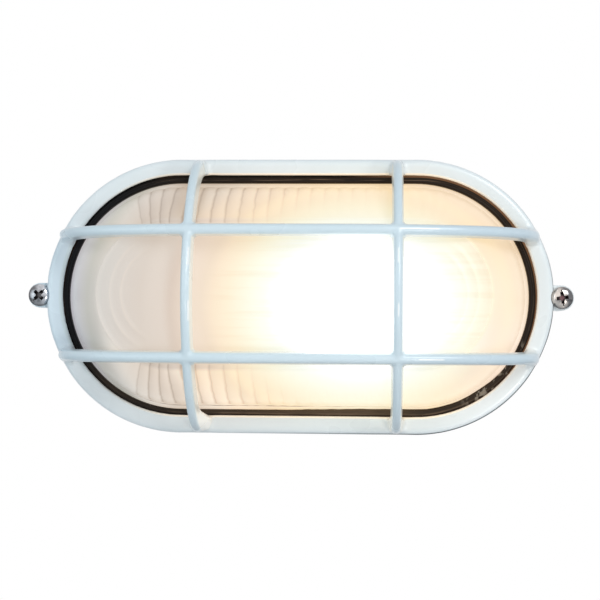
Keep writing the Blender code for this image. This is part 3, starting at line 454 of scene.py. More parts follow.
def barFlanks(x, out, z):
    # masks for painted light on the sides of the bars, down to the ring, and for a painted glow on the web
    # at the lower left foot
    look = enamelLook
    fromUpright = abs(abs(x) - guardSizes["uprightX"])
    fromCrossbar = abs(abs(z) - guardSizes["crossbarY"])
    begins, full, ends, gone = look["uprightFlank"]
    flare = abs(z).between(42, 54) * look["footFlare"]
    upright = fromUpright.between(begins, full) * (fromUpright - flare).below(ends, gone)
    upright = upright * fromCrossbar.between(2.4, 3.4)
    crossbar = fromCrossbar.band(*look["crossbarFlank"]) * fromUpright.between(2.4, 3.4)
    crossbar = crossbar * abs(x).below(55, 85)
    start = 53.5 - z.below(-40, 0) * 4.5  # the lower feet are lit down to the ring
    flanks = (upright + crossbar).atMost(1.0) * (out - start).between(-0.5, 1.5)
    # painted glow on the web beside the lower left foot
    web = fromUpright.between(1.2, 2.0) * x.band(-40.0, -39.2, -36.0, -34.5)
    web = web * z.band(-55.5, -54.5, -48.0, -44.0) * out.between(49.2, 50.5)
    return flanks, web


def makeEnamel():
    look = enamelLook
    material, recipe = newMaterial("whiteEnamel", look["color"], look["roughness"])
    vector, x, out, z = recipe.millimetres()
    _, radius = recipe.ovalRadius(x, z)
    drift = recipe.noise(vector, 22.0, 3.0)
    color = recipe.blend(drift.between(0.30, 0.72), look["color"], look["shade"])

    # ring
    # painted cool shade: the left end of the ring is bluer
    leftEndPaintedShade = x.below(-100, -85) * abs(z).below(18, 34)
    color = recipe.blend(leftEndPaintedShade, color, look["leftEndPaintedShade"], "MULTIPLY")
    # painted light: the lower right of the ring is whitest
    lowRightPaintedLight = x.between(50, 80) * z.below(-34, -14) * out.below(50, 52)
    color = recipe.blend(lowRightPaintedLight, color, look["lowRightPaintedLight"])
    # painted shade along the outer edge of the ring, where it turns away from the light
    rim = radius.between(*look["rimEdge"]) * out.band(*look["ringFace"])
    rim = rim * (x - z * 1.1).between(20, 130) * (1 - z.between(-10, 30) * 0.5)
    color = recipe.blend(rim, color, look["rimShade"])

    # bars
    # painted shade: the bars are bluer and darker than the ring, most on the right
    paintedBarShade = recipe.blend(x.between(30, 65), look["barPaintedShade"], look["barPaintedShadeRight"])
    color = recipe.blend(out.between(*look["barsFrom"]), color, paintedBarShade, "MULTIPLY")
    # painted light on the sides of the bars, whiter on the lower feet
    flanks, web = barFlanks(x, out, z)
    color = recipe.blend(flanks, color, recipe.blend(z.between(-50, -40), look["flankLow"], look["flank"]))

    # inner edge of the ring: painted light from the glass, and painted shade at the left end
    _, innerRadius = recipe.ovalRadius(x, z, guardSizes["windowLift"])
    inner = innerRadius.below(50.0, 50.4) * out.band(*look["innerFace"])
    inner = inner * x.between(-85, -40) * (1 - x.between(60, 90) * 0.7)
    shaded = innerRadius.below(50.3, 51.4) * out.band(46.2, 46.7, 49.2, 50.0)
    color = recipe.blend(shaded * x.below(-94, -82) * 0.8, color, look["innerShade"])
    color = recipe.blend(inner, color, look["innerEdge"])

    # painted highlights along the bars
    glint = sum(recipe.dash(x, z, *values) for values in look["uprightGlints"])
    glint = sum((recipe.dash(z, x, *values) for values in look["crossbarGlints"]), glint)
    color = recipe.blend(glint * out.between(*look["glintsFrom"]) * 0.8, color, look["glint"])
    peel = recipe.noise(vector, 420.0, 1.0) + recipe.noise(vector, 900.0, 2.0) * 0.25
    # painted glow on the inner edge of the ring and on the web
    others = {
        "Coat Weight": look["coat"],
        "Coat Roughness": look["coatRoughness"],
        "Emission Color": recipe.blend((inner + web).atMost(1.0), (0.0, 0.0, 0.0), look["innerEdge"]),
        "Emission Strength": look["innerGlow"],
    }
    roughness = look["roughness"] + (drift - 0.5) * 0.12
    recipe.surface(color, roughness, recipe.bump(peel, look["orangePeel"]), others)
    return material


def barSection(front, back, depth, corner=0.6, steps=12):
    # section as (across, inwards): rounded in front, flanks that lean outwards to the back
    half = front / 2
    nose = [
        (half * math.cos(math.pi * step / steps), 0.9 * half * (1 - math.sin(math.pi * step / steps)))
        for step in range(steps + 1)
    ]
    edge, flat = back / 2, back / 2 - corner
    return nose + [(-edge, depth - corner), (-flat, depth), (flat, depth), (edge, depth - corner)]


def archedBar(halfSpan, rise, power, widths, foot, steps=72):
    # the section is drawn once and carried from station to station along the arch
    sizes = guardSizes
    path = [Vector((-halfSpan, 0, -sizes["sink"]))]
    for step in range(steps + 1):
        turned = math.pi * (step / steps - 0.5)
        reach = math.copysign(abs(math.sin(turned)) ** (2 / power), turned)
        path.append(Vector((halfSpan * reach, 0, rise * math.cos(turned))))
    path.append(Vector((halfSpan, 0, -sizes["sink"])))

    bm = bmesh.new()
    section = barSection(*widths, sizes["barDepth"])
    corners, sides = drawProfile(bm, [(0, across, inwards) for across, inwards in section], True)
    bm.faces.new(corners)
    before = Matrix()
    for index, point in enumerate(path):
        heading = (path[min(index + 1, len(path) - 1)] - path[max(index - 1, 0)]).normalized()
        inwards = Vector((heading.z, 0, -heading.x))
        height = max(point.z, 0.0)
        wider = 1 + sizes["flare"] / widths[0] * max(0.0, 1 - height / sizes["flareHeight"]) ** 2
        share = eased(height, 0.0, sizes["footHeight"])
        deeper = (foot + (sizes["barDepth"] - foot) * share) / sizes["barDepth"]
        columns = (heading, Vector((0, 1, 0)) * wider, inwards * deeper)
        station = Matrix.Translation(point) @ Matrix(columns).transposed().to_4x4()
        if index:
            corners, sides = newParts(bmesh.ops.extrude_edge_only(bm, edges=sides)["geom"])
        bmesh.ops.transform(bm, verts=corners, matrix=station @ before.inverted())
        before = station
    bmesh.ops.contextual_create(bm, geom=sides)
    return tidyShape(bm)


def raiseOutline(outline, bottom, top):
    bm = bmesh.new()
    face = bm.faces.new([bm.verts.new((x, y, bottom)) for x, y in outline])
    raised, _ = newParts(bmesh.ops.extrude_face_region(bm, geom=[face])["geom"])
    bmesh.ops.translate(bm, verts=raised, vec=(0, 0, top - bottom))
    return tidyShape(bm)


def earOutline(start, side):
    # from that far past the straight sides to round the screw
    sizes = guardSizes
    radius, innerX = sizes["earRadius"], oval["halfStraight"] + start
    turned = [math.radians(angle) for angle in range(-90, 91, 6)]
    tip = [(sizes["screwX"] + radius * math.cos(t), radius * math.sin(t)) for t in turned]
    return [(side * x, y) for x, y in [(innerX, -radius), *tip, (innerX, radius)]]


def meltTogether(piece, voxel, smoothing):
    # fuses overlapping shells and rounds their joins, as a casting under thick enamel
    remesh = piece.modifiers.new("melt", "REMESH")
    remesh.mode = "VOXEL"
    remesh.voxel_size = voxel
    relax = piece.modifiers.new("relax", "SMOOTH")
    relax.factor = 0.5
    relax.iterations = smoothing
    bakeModifiers(piece)


def wrapRing(guard, ring):
    # away from bars and ears, the melted surface is laid back on the clean ring
    sizes = guardSizes
    near, far = sizes["clear"]
    group = guard.vertex_groups.new(name="ring")
    for corner in guard.data.vertices:
        x, y, depth = corner.co
        fromBar = min(abs(abs(x) - sizes["uprightX"]), abs(abs(y) - sizes["crossbarY"]))
        fromEar = max(abs(y) - sizes["earRadius"], sizes["screwX"] - sizes["earRadius"] - 1.5 - abs(x))
        share = min(eased(fromBar, near, far), eased(fromEar, 0.5, 2.5))
        if share > 0 and depth < sizes["front"] + 0.6:
            group.add([corner.index], share, "REPLACE")
    wrap = guard.modifiers.new("wrap", "SHRINKWRAP")
    wrap.target = ring
    wrap.wrap_method = "NEAREST_SURFACEPOINT"
    wrap.vertex_group = group.name
    bakeModifiers(guard)
    bpy.data.objects.remove(ring, do_unlink=True)


def screwSeats(bottom, top):
    sizes = guardSizes
    hole, seat, level = sizes["holeRadius"], sizes["seatRadius"], sizes["earTop"]
    stepped = [(0, bottom), (hole, bottom), (hole, level), (seat, level), (seat, top), (0, top)]
    return turnedAt(((-sizes["screwX"], 0), (sizes["screwX"], 0)), stepped)


def ringProfile():
    sizes = guardSizes
    radius, front, window = sizes["radius"], sizes["front"], sizes["window"]
    skirt = radius - sizes["wall"]
    return filletPath(
        [
            (radius, sizes["bottom"], 0.5),
            (radius, front - 0.15, sizes["edgeRound"]),
            (0.5 * (radius + window) + 0.6, front, 4.0),
            (window, front - 0.35, sizes["innerRound"]),
            (window, sizes["underLip"], 0.3),
            (skirt, sizes["underLip"]),
            (skirt, sizes["bottom"]),
        ]
    )


def liftWindow(casting):
    sizes = guardSizes
    for corner in casting.data.vertices:
        x, y, depth = corner.co
        radius = math.hypot(max(0.0, abs(x) - oval["halfStraight"]), y)
        if depth > sizes["underLip"] - 0.1:
            fixed = eased(radius, sizes["window"] + 0.5, sizes["window"] + 4.0)
            corner.co.y += sizes["windowLift"] * (1 - fixed)


def barsAndEars():
    # overlapping shells, with each crossbar just high enough to meet the uprights
    sizes = guardSizes
    shell = bmesh.new()
    radius, inset = sizes["radius"], sizes["inset"]
    reach = oval["halfStraight"] + math.sqrt(radius**2 - sizes["crossbarY"] ** 2)
    crossing = sizes["uprightRise"] * math.sqrt(1 - (sizes["crossbarY"] / radius) ** sizes["uprightPower"])
    crossRise = crossing / math.sqrt(1 - (sizes["uprightX"] / reach) ** sizes["crossbarPower"])
    quarter = Matrix.Rotation(math.pi / 2, 4, "Z")
    ringWidth = radius - sizes["window"]
    inner = math.sqrt(sizes["window"] ** 2 - (sizes["crossbarY"] - 0.5 * sizes["crossbarWidths"][1]) ** 2)
    crossFoot = reach - oval["halfStraight"] - inner - 1.2 * inset
    for side in (-1, 1):
        foot = ringWidth - 1.2 * inset
        widths = sizes["uprightWidths"]
        upright = archedBar(radius - inset, sizes["uprightRise"], sizes["uprightPower"], widths, foot)
        place = Matrix.Translation((side * sizes["uprightX"], 0, sizes["front"]))
        mergeShape(shell, upright, place @ quarter)
        widths = sizes["crossbarWidths"]
        crossbar = archedBar(reach - inset, crossRise, sizes["crossbarPower"], widths, crossFoot, 100)
        mergeShape(shell, crossbar, Matrix.Translation((0, side * sizes["crossbarY"], sizes["front"])))
        ear = earOutline(radius - sizes["sink"], side)
        mergeShape(shell, raiseOutline(ear, sizes["bottom"], sizes["earTop"]))
    web = bmesh.new()
    for x, y, depth in sizes["web"]:
        web.verts.new((x - sizes["uprightX"], y, depth))
    bmesh.ops.convex_hull(web, input=web.verts)
    mergeShape(shell, tidyShape(web))
    return shell


def makeGuard():
    sizes = guardSizes
    profile = ringProfile()
    guard = rawObject("guardCasting", sweepOval(profile, True, 24))
    ring = rawObject("ringAlone", sweepOval(profile, True, 24, ((math.pi, 180),)))
    liftWindow(guard)
    liftWindow(ring)
    bm = bmesh.new()
    bm.from_mesh(guard.data)
    mergeShape(bm, barsAndEars())
    bm.to_mesh(guard.data)
    bm.free()
    meltTogether(guard, sizes["voxel"], sizes["smoothing"])
    wrapRing(guard, ring)
    combine(guard, screwSeats(sizes["bottom"] - 3, sizes["front"] + 4), "DIFFERENCE")
    return finishPiece(guard, enamel, "white_enamel", "guard", sharp=50)


enamel = makeEnamel()
guard = makeGuard()
print("guard made,", len(guard.data.polygons), "faces")


# Glass
glassSizes = {
    "flangeRadius": 50.9,
    "flangeBottom": 40.2,
    "flangeTop": 44.0,
    "radius": 46.4,
    "wall": 3.2,
    "wallFoot": 46.3,
    "ledge": 1.5,
    "ledgeRise": 0.7,
    "front": 79.85,
    "faceRadius": 29.0,
    "faceSteps": 58,
    "domePower": 1.8,
    "ridges": ((29.0, 0.45, 1.9), (23.8, 0.35, 1.7), (19.5, 0.35, 1.7)),  # radius, height, width
    "ribPitch": 5.5,
    "ribStart": 0.3,
    "ribRadius": 44.0,
    "ribsOnBend": 4.5,
    "ribHeight": 0.40,
    "stepsOnRib": 9,
}

glassLook = {
    "color": (0.30, 0.30, 0.305),
    "glowCenter": (26.0, -4.0),  # where the lamp shows through
    "glowSquash": 1.2,
    "glowReach": 120.0,
    "glowStrength": 2.4,
    # painted glow: light through the frosting, by the distance from the lamp
    "glow": (
        (0, 2.40, 2.40, 2.30), (16, 2.00, 2.00, 1.90), (26, 1.30, 1.30, 1.25),
        (31, 0.80, 0.80, 0.78), (38, 0.700, 0.700, 0.590), (46, 0.695, 0.635, 0.450),
        (52, 0.695, 0.570, 0.365), (57, 0.670, 0.515, 0.325), (62, 0.590, 0.442, 0.292),
        (66, 0.575, 0.435, 0.306), (70, 0.556, 0.424, 0.310), (74, 0.520, 0.400, 0.304),
        (78, 0.498, 0.402, 0.316), (86, 0.425, 0.337, 0.256), (94, 0.412, 0.342, 0.274),
        (102, 0.384, 0.344, 0.292), (108, 0.285, 0.270, 0.220), (113, 0.290, 0.275, 0.270),
        (120, 0.330, 0.320, 0.340),
    ),
    # painted light and shade: how the domed sides differ from that
    "tints": {
        "above": (0.98, 0.935, 0.845),
        "below": (1.10, 1.11, 1.11),
        "middle": (1.14, 1.15, 1.07),
        "lowLeft": (1.19, 1.20, 1.21),
        "farTop": (1.14, 1.15, 1.20),
        "farLeft": (0.78, 0.77, 0.77),
        "farRight": (0.93, 0.94, 1.07),
        "topRibs": (0.97, 0.94, 0.93),
    },
    "ribLight": (1.05, 1.05, 1.06),
    "ribShade": (0.80, 0.745, 0.69),
    "valley": 0.16,  # half width of a valley, in pitches
    "valleyShade": (0.50, 0.41, 0.33),
    "valleyShadeColor": (0.15, 0.13, 0.11),
    "waver": 0.22,
    "rings": ((29.0, 0.9), (23.8, 0.8), (19.5, 0.7)),  # pressed in the face: radius and reach
    "ringLight": (1.14, 1.13, 1.12),
    # painted shade of the streaks beside the lamp
    "streak": (0.93, 0.92, 0.86),
    "ledge": 44.8,
    # painted shade where the ribs meet the ledge
    "ledgeShadeLine": (0.06, 0.04, 0.025),
}


def ribPattern(recipe, vector, x, z, past, away, radius):
    # masks for the painted light side of each rib, the painted shade in the valleys between them, and how
    # far the bends carry them
    look, sizes = glassLook, glassSizes
    half, pitch = oval["halfStraight"], sizes["ribPitch"]
    bend = recipe.add("ShaderNodeMath", {"operation": "ARCTAN2"}, {0: past, 1: abs(z)}) * sizes["ribRadius"]
    along = x.atMost(half).atLeast(-half) + x.sign() * bend - sizes["ribStart"]
    waver = recipe.noise(vector, 150.0, 2.0) - 0.5
    phase = (along / pitch + waver * look["waver"]).fraction()  # 0 and 1 on a valley, rising to the right
    toValley = 0.5 - abs(phase - 0.5)
    fade = (bend / pitch).below(0.5 * sizes["ribsOnBend"], sizes["ribsOnBend"])
    scallop = look["ledge"] - (0.5 - toValley) * (0.5 - toValley) * 3.0
    shown = radius.between(26.8, 28.2) * (radius - scallop).below(-0.3, 0.3) * fade
    shown = shown * away.between(46, 80) * x.below(20, 40)
    valleys = toValley.below(0.0, look["valley"]) * shown
    return (1 - phase) * (1 - phase) * shown, valleys, fade


def makeFrostedGlass():
    look = glassLook
    material, recipe = newMaterial("frostedGlass", look["color"], 0.35)
    vector, x, out, z = recipe.millimetres()
    past, radius = recipe.ovalRadius(x, z)
    awayX = x - look["glowCenter"][0]
    awayZ = (z - look["glowCenter"][1]) * look["glowSquash"]
    away = (awayX * awayX + awayZ * awayZ) ** 0.5

    # ribs end in a scallop at the ledge and fade out on the bends and towards the lamp
    ribs, valleys, fade = ribPattern(recipe, vector, x, z, past, away, radius)
    # painted light and shade across each rib
    tone = recipe.blend(ribs, look["ribLight"], look["ribShade"])
    # painted light and shade on the domed sides, by place
    onDome = radius.between(28.5, 30.5)
    above = onDome * z.between(0, 20)
    below = onDome * z.below(-20, 0)
    places = {
        "above": above,
        "below": below,
        "middle": onDome * away.band(52, 61, 71, 84),
        "lowLeft": below * away.band(60, 76, 98, 108),
        "farTop": above * away.between(90, 100),
        "farLeft": below * away.between(97, 106),
        "farRight": below * x.between(55, 75),
        "topRibs": above * fade * away.between(80, 96),
    }
    for name, mask in places.items():
        tone = recipe.blend(mask, tone, look["tints"][name], "MULTIPLY")

    # painted shade in faint streaks beside the lamp, and painted light where the rings pressed in the face
    # catch a little light
    streaks = recipe.noise(vector, 1.0, 3.0, (30.0, 30.0, 520.0)).between(0.42, 0.70)
    beside = away.band(28, 36, 50, 64) * radius.below(28.5, 30)
    tone = recipe.blend(streaks * beside * 0.9, tone, look["streak"], "MULTIPLY")
    rings = sum(radius.line(*values) for values in look["rings"]) * (past / radius).between(0.50, 0.85)

    # painted glow of the lamp through the glass, by the distance from where it shows through
    stops = tuple(
        (distance / look["glowReach"], tuple(part / look["glowStrength"] for part in light))
        for distance, *light in look["glow"]
    )
    glow = recipe.add("ShaderNodeValToRGB", {"stops": stops}, {0: away / look["glowReach"]})
    glow = recipe.blend(1.0, glow, tone, "MULTIPLY")
    # painted light on the pressed rings
    glow = recipe.blend(rings * 0.65, glow, look["ringLight"], "MULTIPLY")
    # painted shade in the valleys
    glow = recipe.blend(valleys * 0.45, glow, look["valleyShade"], "MULTIPLY")

    # painted shade: a thin uneven brown line where the ribs meet the ledge, along the bottom
    uneven = recipe.noise(vector, 90.0, 3.0)
    ledgeShadeLine = radius.line((uneven - 0.5) * 0.5 + look["ledge"] + 0.2, 0.32)
    ledgeShadeLine = ledgeShadeLine * uneven.between(0.25, 0.50) * z.below(-34, -24)
    ledgeShadeLine = ledgeShadeLine * (1 - x.between(-10, 30) * 0.6) * x.below(60, 80)
    glow = recipe.blend(ledgeShadeLine, glow, look["ledgeShadeLine"])

    frosting = recipe.noise(vector, 1400.0, 2.0)
    # painted shade of the valleys and the ledge line in the base colour
    color = recipe.blend(valleys * 0.3 + ledgeShadeLine * 0.4, look["color"], look["valleyShadeColor"])
    others = {"Emission Color": glow, "Emission Strength": look["glowStrength"], "Specular IOR Level": 0.35}
    recipe.surface(color, 0.36 + (frosting - 0.5) * 0.10, recipe.bump(frosting, 0.00002), others)
    return material


def domeSide(outer, inner, bottom, top, steps):
    power = glassSizes["domePower"]
    shares = [step / steps for step in range(steps + 1)]
    return [(outer + (inner - outer) * share**power, bottom + (top - bottom) * share) for share in shares]


def ridgeBump(radius, middle, height, width):
    away = abs(radius - middle) / width
    return height * 0.5 * (1 + math.cos(math.pi * away)) if away < 1 else 0.0


def makeGlassShape():
    sizes = glassSizes
    front, top, wall = sizes["front"], sizes["wallFoot"], sizes["wall"]
    outer, flange, flangeTop = sizes["radius"], sizes["flangeRadius"], sizes["flangeTop"]
    foot, footRadius = top + sizes["ledgeRise"], outer - sizes["ledge"]
    shoulder, shoulderRadius = front - 1.0, sizes["faceRadius"] + 0.9
    face = []
    for step in range(sizes["faceSteps"] + 1):
        radius = sizes["faceRadius"] * step / sizes["faceSteps"]
        height = sum(ridgeBump(radius, *ridge) for ridge in sizes["ridges"])
        face.append((radius, front + height))
    profile = face + list(reversed(domeSide(footRadius, shoulderRadius, foot, shoulder, 34)))
    profile += [
        (footRadius + 0.35, foot - 0.12),
        (outer - 0.3, top + 0.1),
        (outer, top - 0.2),
        (outer, flangeTop),
        (flange - 0.4, flangeTop),
        (flange, flangeTop - 0.4),
        (flange, sizes["flangeBottom"]),
        (footRadius - wall, sizes["flangeBottom"]),
    ]
    inner = sizes["faceRadius"] - 1.7
    profile += domeSide(footRadius - wall, inner, foot, shoulder - wall, 12)
    profile += [(inner - 3.4, front - wall), (0, front - wall)]

    pitch, half = sizes["ribPitch"], oval["halfStraight"]
    ribbedTurn = sizes["ribsOnBend"] * pitch / sizes["ribRadius"]
    ribbedSteps = int(sizes["ribsOnBend"] * sizes["stepsOnRib"])
    bends = ((ribbedTurn, ribbedSteps), (math.pi - 2 * ribbedTurn, 40), (ribbedTurn, ribbedSteps))
    bm = sweepOval(profile, False, int(2 * half / pitch * sizes["stepsOnRib"]), bends)
    for corner in bm.verts:
        x, y, depth = corner.co
        across = fromMiddle(x, y)
        radius = across.length
        if depth > front:
            # the rings show round the ends only
            turned = eased((abs(x) - half) / max(radius, 1.0), 0.35, 0.8)
            corner.co.z = front + (depth - front) * turned
            continue
        if depth < foot + 0.2 or depth > shoulder - 0.1 or radius < 1:
            continue
        share = (depth - foot) / (shoulder - foot)
        outside = footRadius + (shoulderRadius - footRadius) * share ** sizes["domePower"]
        if radius < outside - 1.2:
            continue
        bend = math.copysign(math.atan2(max(0.0, abs(x) - half), abs(y)) * sizes["ribRadius"], x)
        along = (max(-half, min(half, x)) + bend - sizes["ribStart"]) / pitch
        fade = 1 - eased(abs(bend) / pitch, 0.4 * sizes["ribsOnBend"], sizes["ribsOnBend"])
        ends = eased(depth, foot + 0.3, foot + 2.0) * (1 - eased(depth, shoulder - 2.0, shoulder))
        crown = math.hypot(math.sin(math.pi * along), 0.33) - 0.7  # a round rib between soft valleys
        corner.co += across.normalized() * sizes["ribHeight"] * crown * fade * ends
    return tidyShape(bm)


frostedGlass = makeFrostedGlass()
glass = rawObject("ribbedGlass", makeGlassShape())
glass.data.transform(Matrix.Translation((oval["glassShift"], 0, 0)))
finishPiece(glass, frostedGlass, "frosted_glass", "glass_lens", sharp=40)
print("glass made,", len(glass.data.polygons), "faces")


# Seal
sealSizes = {
    "outer": 53.05,
    "inner": 46.7,
    "base": 37.5,
    "top": 46.25,
    "beadTop": 47.75,
    "groove": (51.25, 39.9, 44.35),  # radius, foot and top of the groove that holds the glass
    "lumps": 0.22,  # how far the soft lip wanders
    "creep": 0.75,  # how far it has crept over the glass at the lower right
    "lumpSize": 5.0,
}

rubberLook = {
    "black": (0.0035, 0.0035, 0.0045),
    # painted warm light from the lamp
    "lampLitBrown": (0.016, 0.009, 0.005),  # where the lamp warms it
    "low": (0.110, 0.074, 0.046),  # along the bottom
    "groove": (48.6, 0.4),  # which stays darker there
    # painted highlight along the groove
    "streak": (0.16, 0.11, 0.075),
    "streakRadius": 47.9,
    "edge": (48.8, 49.3),  # the outer edge of the lip lets some light past
    "edgeGlow": (0.17, 0.085, 0.042),
    "scuff": (0.30, 0.26, 0.21),
    "scuffsAcross": (64, 74, 91, 97),
    "scuffsUp": (-47, -41, -24, -16),
}


def makeRubber():
    look = rubberLook
    material, recipe = newMaterial("blackRubber", look["black"], 0.5)
    vector, x, out, z = recipe.millimetres()
    _, radius = recipe.ovalRadius(x, z)
    grain = recipe.noise(vector, 700.0, 3.0)
    bloom = recipe.noise(vector, 35.0, 2.0)
    wander = recipe.noise(vector, 28.0, 3.0) - 0.5
    lightPatches = recipe.noise(vector, 75.0, 2.0)
    under = z.below(-40, -20)
    # painted warm light, browner towards the top and right
    warm = (x + z * 1.2).between(-45, 60) * 0.85 + (bloom - 0.5) * 0.5
    color = recipe.blend(warm.clipped(), look["black"], look["lampLitBrown"])

    # along the bottom it is browner, and a painted highlight streak wanders along the groove, widest there
    browner = under * (1 - radius.line(*look["groove"]) * 0.9)
    browner = browner * (x.between(-60, 20) * 0.6 + 0.3 + wander * 0.8) * (1 - x.between(32, 56) * 0.70)
    color = recipe.blend(browner.clipped(), color, look["low"])
    streak = radius.line(wander * 1.6 + under * 0.2 + look["streakRadius"], under * 0.22 + 0.22)
    streak = streak * lightPatches.between(0.38, 0.62) * x.between(-75, -20) * (1 - x.between(50, 75) * 0.7)
    color = recipe.blend(streak, color, look["streak"])
    scuffs = recipe.noise(vector, 480.0, 2.0, (1.0, 1.0, 0.55)).between(0.51, 0.62)
    scuffs = scuffs * x.band(*look["scuffsAcross"]) * z.band(*look["scuffsUp"])
    color = recipe.blend(scuffs * 0.9, color, look["scuff"])

    # painted glow along the outer edge of the lip
    lit = x.between(10, 60) * (1 - under) + under * x.between(-50, 20) * 0.50 + (lightPatches - 0.5) * 0.4
    litEdge = radius.between(*look["edge"]) * lit.clipped()
    emission = recipe.blend(litEdge, (0.0, 0.0, 0.0), look["edgeGlow"])
    others = {"Specular IOR Level": 0.16, "Emission Color": emission, "Emission Strength": 1.0}
    recipe.surface(color, 0.40 + grain * 0.2, recipe.bump(grain, 0.00004), others)
    return material


def makeSeal():
    sizes = sealSizes
    outer, inner, top, bead = sizes["outer"], sizes["inner"], sizes["top"], sizes["beadTop"]
    groove, grooveFoot, grooveTop = sizes["groove"]
    profile = filletPath(
        [
            (outer, sizes["base"], 0.3),
            (outer, top, 0.2),
            (49.3, top),
            (49.2, top + 0.75, 0.35),
            (48.35, bead - 0.15, 0.4),
            (47.9, bead - 0.65, 0.3),
            (47.45, bead - 0.25, 0.35),
            (inner, bead - 0.75, 0.3),
            (inner, grooveTop),
            (groove, grooveTop),
            (groove, grooveFoot),
            (inner, grooveFoot),
            (inner, 38.2),
            (inner + 0.6, sizes["base"]),
        ],
        3,
    )
    seal = rawObject("rubberSeal", sweepOval(profile, True, 90))
    for corner in seal.data.vertices:
        x, y, depth = corner.co
        if depth > top + 0.3:
            wander = noise.noise(corner.co / sizes["lumpSize"]) + 0.5 * noise.noise(corner.co / 1.7)
            across = fromMiddle(x, y)
            loose = sizes["lumps"] * (1.6 if y < -30 else 0.5)
            lip = 1 - eased(across.length, inner + 0.3, inner + 2.2)
            creep = sizes["creep"] * lip * eased(-y, 20, 40) * eased(x, -20, 30) * (1 - eased(x, 75, 95))
            corner.co += across.normalized() * (wander * loose * 0.5 - creep)
            corner.co.z += wander * loose * 0.6
    seal.data.transform(Matrix.Translation((oval["glassShift"], 0, 0)))
    finishPiece(seal, rubber, "black_rubber", "glass_seal", sharp=45)


rubber = makeRubber()
makeSeal()
print("seal made")


# Guard screws
screwSizes = {
    "shank": 1.95,
    "length": 17.6,
    "head": 4.6,
    "height": 2.9,
    "seat": 44.6,
    "armLength": 3.5,
    "armWidth": 1.7,
    "armTaper": (0.45, 0.7, 1),  # how the recess narrows to its floor
    "recess": 2.0,
    "grooveWidth": 0.5,
    "grooveDepth": 0.35,
    "grooveAt": 0.86,  # share of the head's height
    "turns": {"left": 45, "right": 8},
}

screwLook = {
    # painted reflection and shade: lighter towards the ring, darker outwards and round the rim
    "light": (0.62, 0.63, 0.67),
    "warm": (0.84, 0.76, 0.70),  # the right screw mirrors the lit side of the guard
    "dark": (0.15, 0.15, 0.158),
    # painted shade in the cross recess, with a painted warm reflection on the right screw's floor
    "recess": (0.030, 0.026, 0.027),
    "recessFloor": (0.13, 0.125, 0.13),
    "recessFloorWarm": (0.15, 0.085, 0.09),
    "recessReach": 3.3,
    "recessDepth": 46.9,  # out of the wall, under the dome of the head
}


def makeScrewSteel():
    look = screwLook
    material, recipe = newMaterial("polishedScrewSteel", look["light"], 0.16, 1.0)
    vector, x, out, z = recipe.millimetres()
    outwards = abs(x) - guardSizes["screwX"]
    radius = (outwards * outwards + z * z) ** 0.5
    onRight = x.between(-10, 10)
    marks = recipe.noise(vector, 900.0, 3.0)
    patches = recipe.noise(vector, 330.0, 2.0)
    # painted reflection and shade across the head, lighter towards the ring
    shaded = (outwards + (patches - 0.5) * 11.0).between(-3.0, 3.6)
    color = recipe.blend(shaded, recipe.blend(onRight, look["light"], look["warm"]), look["dark"])
    # painted shade round the rim of the head
    rim = radius.between(3.8, 4.6) * z.below(-4, 3) + radius.between(4.2, 4.7) * 0.4
    color = recipe.blend(rim.atMost(1.0) * 0.75, color, look["dark"])
    # painted shade in the cross recess, and a painted warm reflection on its floor in the right screw
    inRecess = radius.below(look["recessReach"], look["recessReach"] + 0.1)
    inRecess = inRecess * out.below(look["recessDepth"] - 0.2, look["recessDepth"] + 0.1)
    recess = recipe.blend(onRight, look["recessFloor"], look["recessFloorWarm"])
    recess = recipe.blend(radius.between(0.6, 1.4), recess, look["recess"])
    color = recipe.blend(inRecess, color, recess)
    roughness = 0.15 + (marks - 0.5) * 0.12 + inRecess * 0.3
    recipe.surface(color, roughness, recipe.bump(marks, 0.00001), {"Metallic": 1.0})
    return material


def cutBox(piece, size, matrix, taper=(1, 1, 1)):
    box = bmesh.new()
    bmesh.ops.create_cube(box, size=1.0)
    bmesh.ops.scale(box, vec=size, verts=box.verts)
    bmesh.ops.scale(box, vec=taper, verts=[corner for corner in box.verts if corner.co.z < 0])
    bmesh.ops.transform(box, verts=box.verts, matrix=matrix)
    combine(piece, box, "DIFFERENCE")


def makeGuardScrew(side, word):
    sizes = screwSizes
    head, tall, shank, end = sizes["head"], sizes["height"], sizes["shank"], -sizes["length"]
    profile = [(0, end), (shank * 0.7, end), (shank, end + 1.2), (shank, 0)]
    profile += [(head - 0.15, 0), (head, 0.15), (head, tall * 0.34)]
    for step in range(1, 13):
        turned = math.pi / 2 * step / 12
        profile.append((head * math.cos(turned) ** 0.8, tall * (0.34 + 0.66 * math.sin(turned) ** 0.9)))
    profile[-1] = (0, tall)
    screw = rawObject("guardScrew_" + word, turnProfile(profile, 64))
    turnedHead = math.radians(sizes["turns"][word])
    arm = (2 * sizes["armLength"], sizes["armWidth"], 2 * sizes["recess"])
    for quarter in (0, math.pi / 2):
        lifted = Matrix.Translation((0, 0, tall)) @ Matrix.Rotation(turnedHead + quarter, 4, "Z")
        cutBox(screw, arm, lifted, sizes["armTaper"])
    groove = (3 * head, sizes["grooveWidth"], 2 * sizes["grooveDepth"])
    across = turnedHead + (math.pi / 2 if side > 0 else 0)
    lifted = Matrix.Translation((0, 0, sizes["grooveAt"] * tall)) @ Matrix.Rotation(across, 4, "Z")
    cutBox(screw, groove, lifted)
    screw.data.transform(Matrix.Translation((side * guardSizes["screwX"], 0, sizes["seat"])))
    finishPiece(screw, screwSteel, "stainless_steel", "guard_screw_" + word, sharp=30)


screwSteel = makeScrewSteel()
for side, word in ((-1, "left"), (1, "right")):
    makeGuardScrew(side, word)
print("screws made")


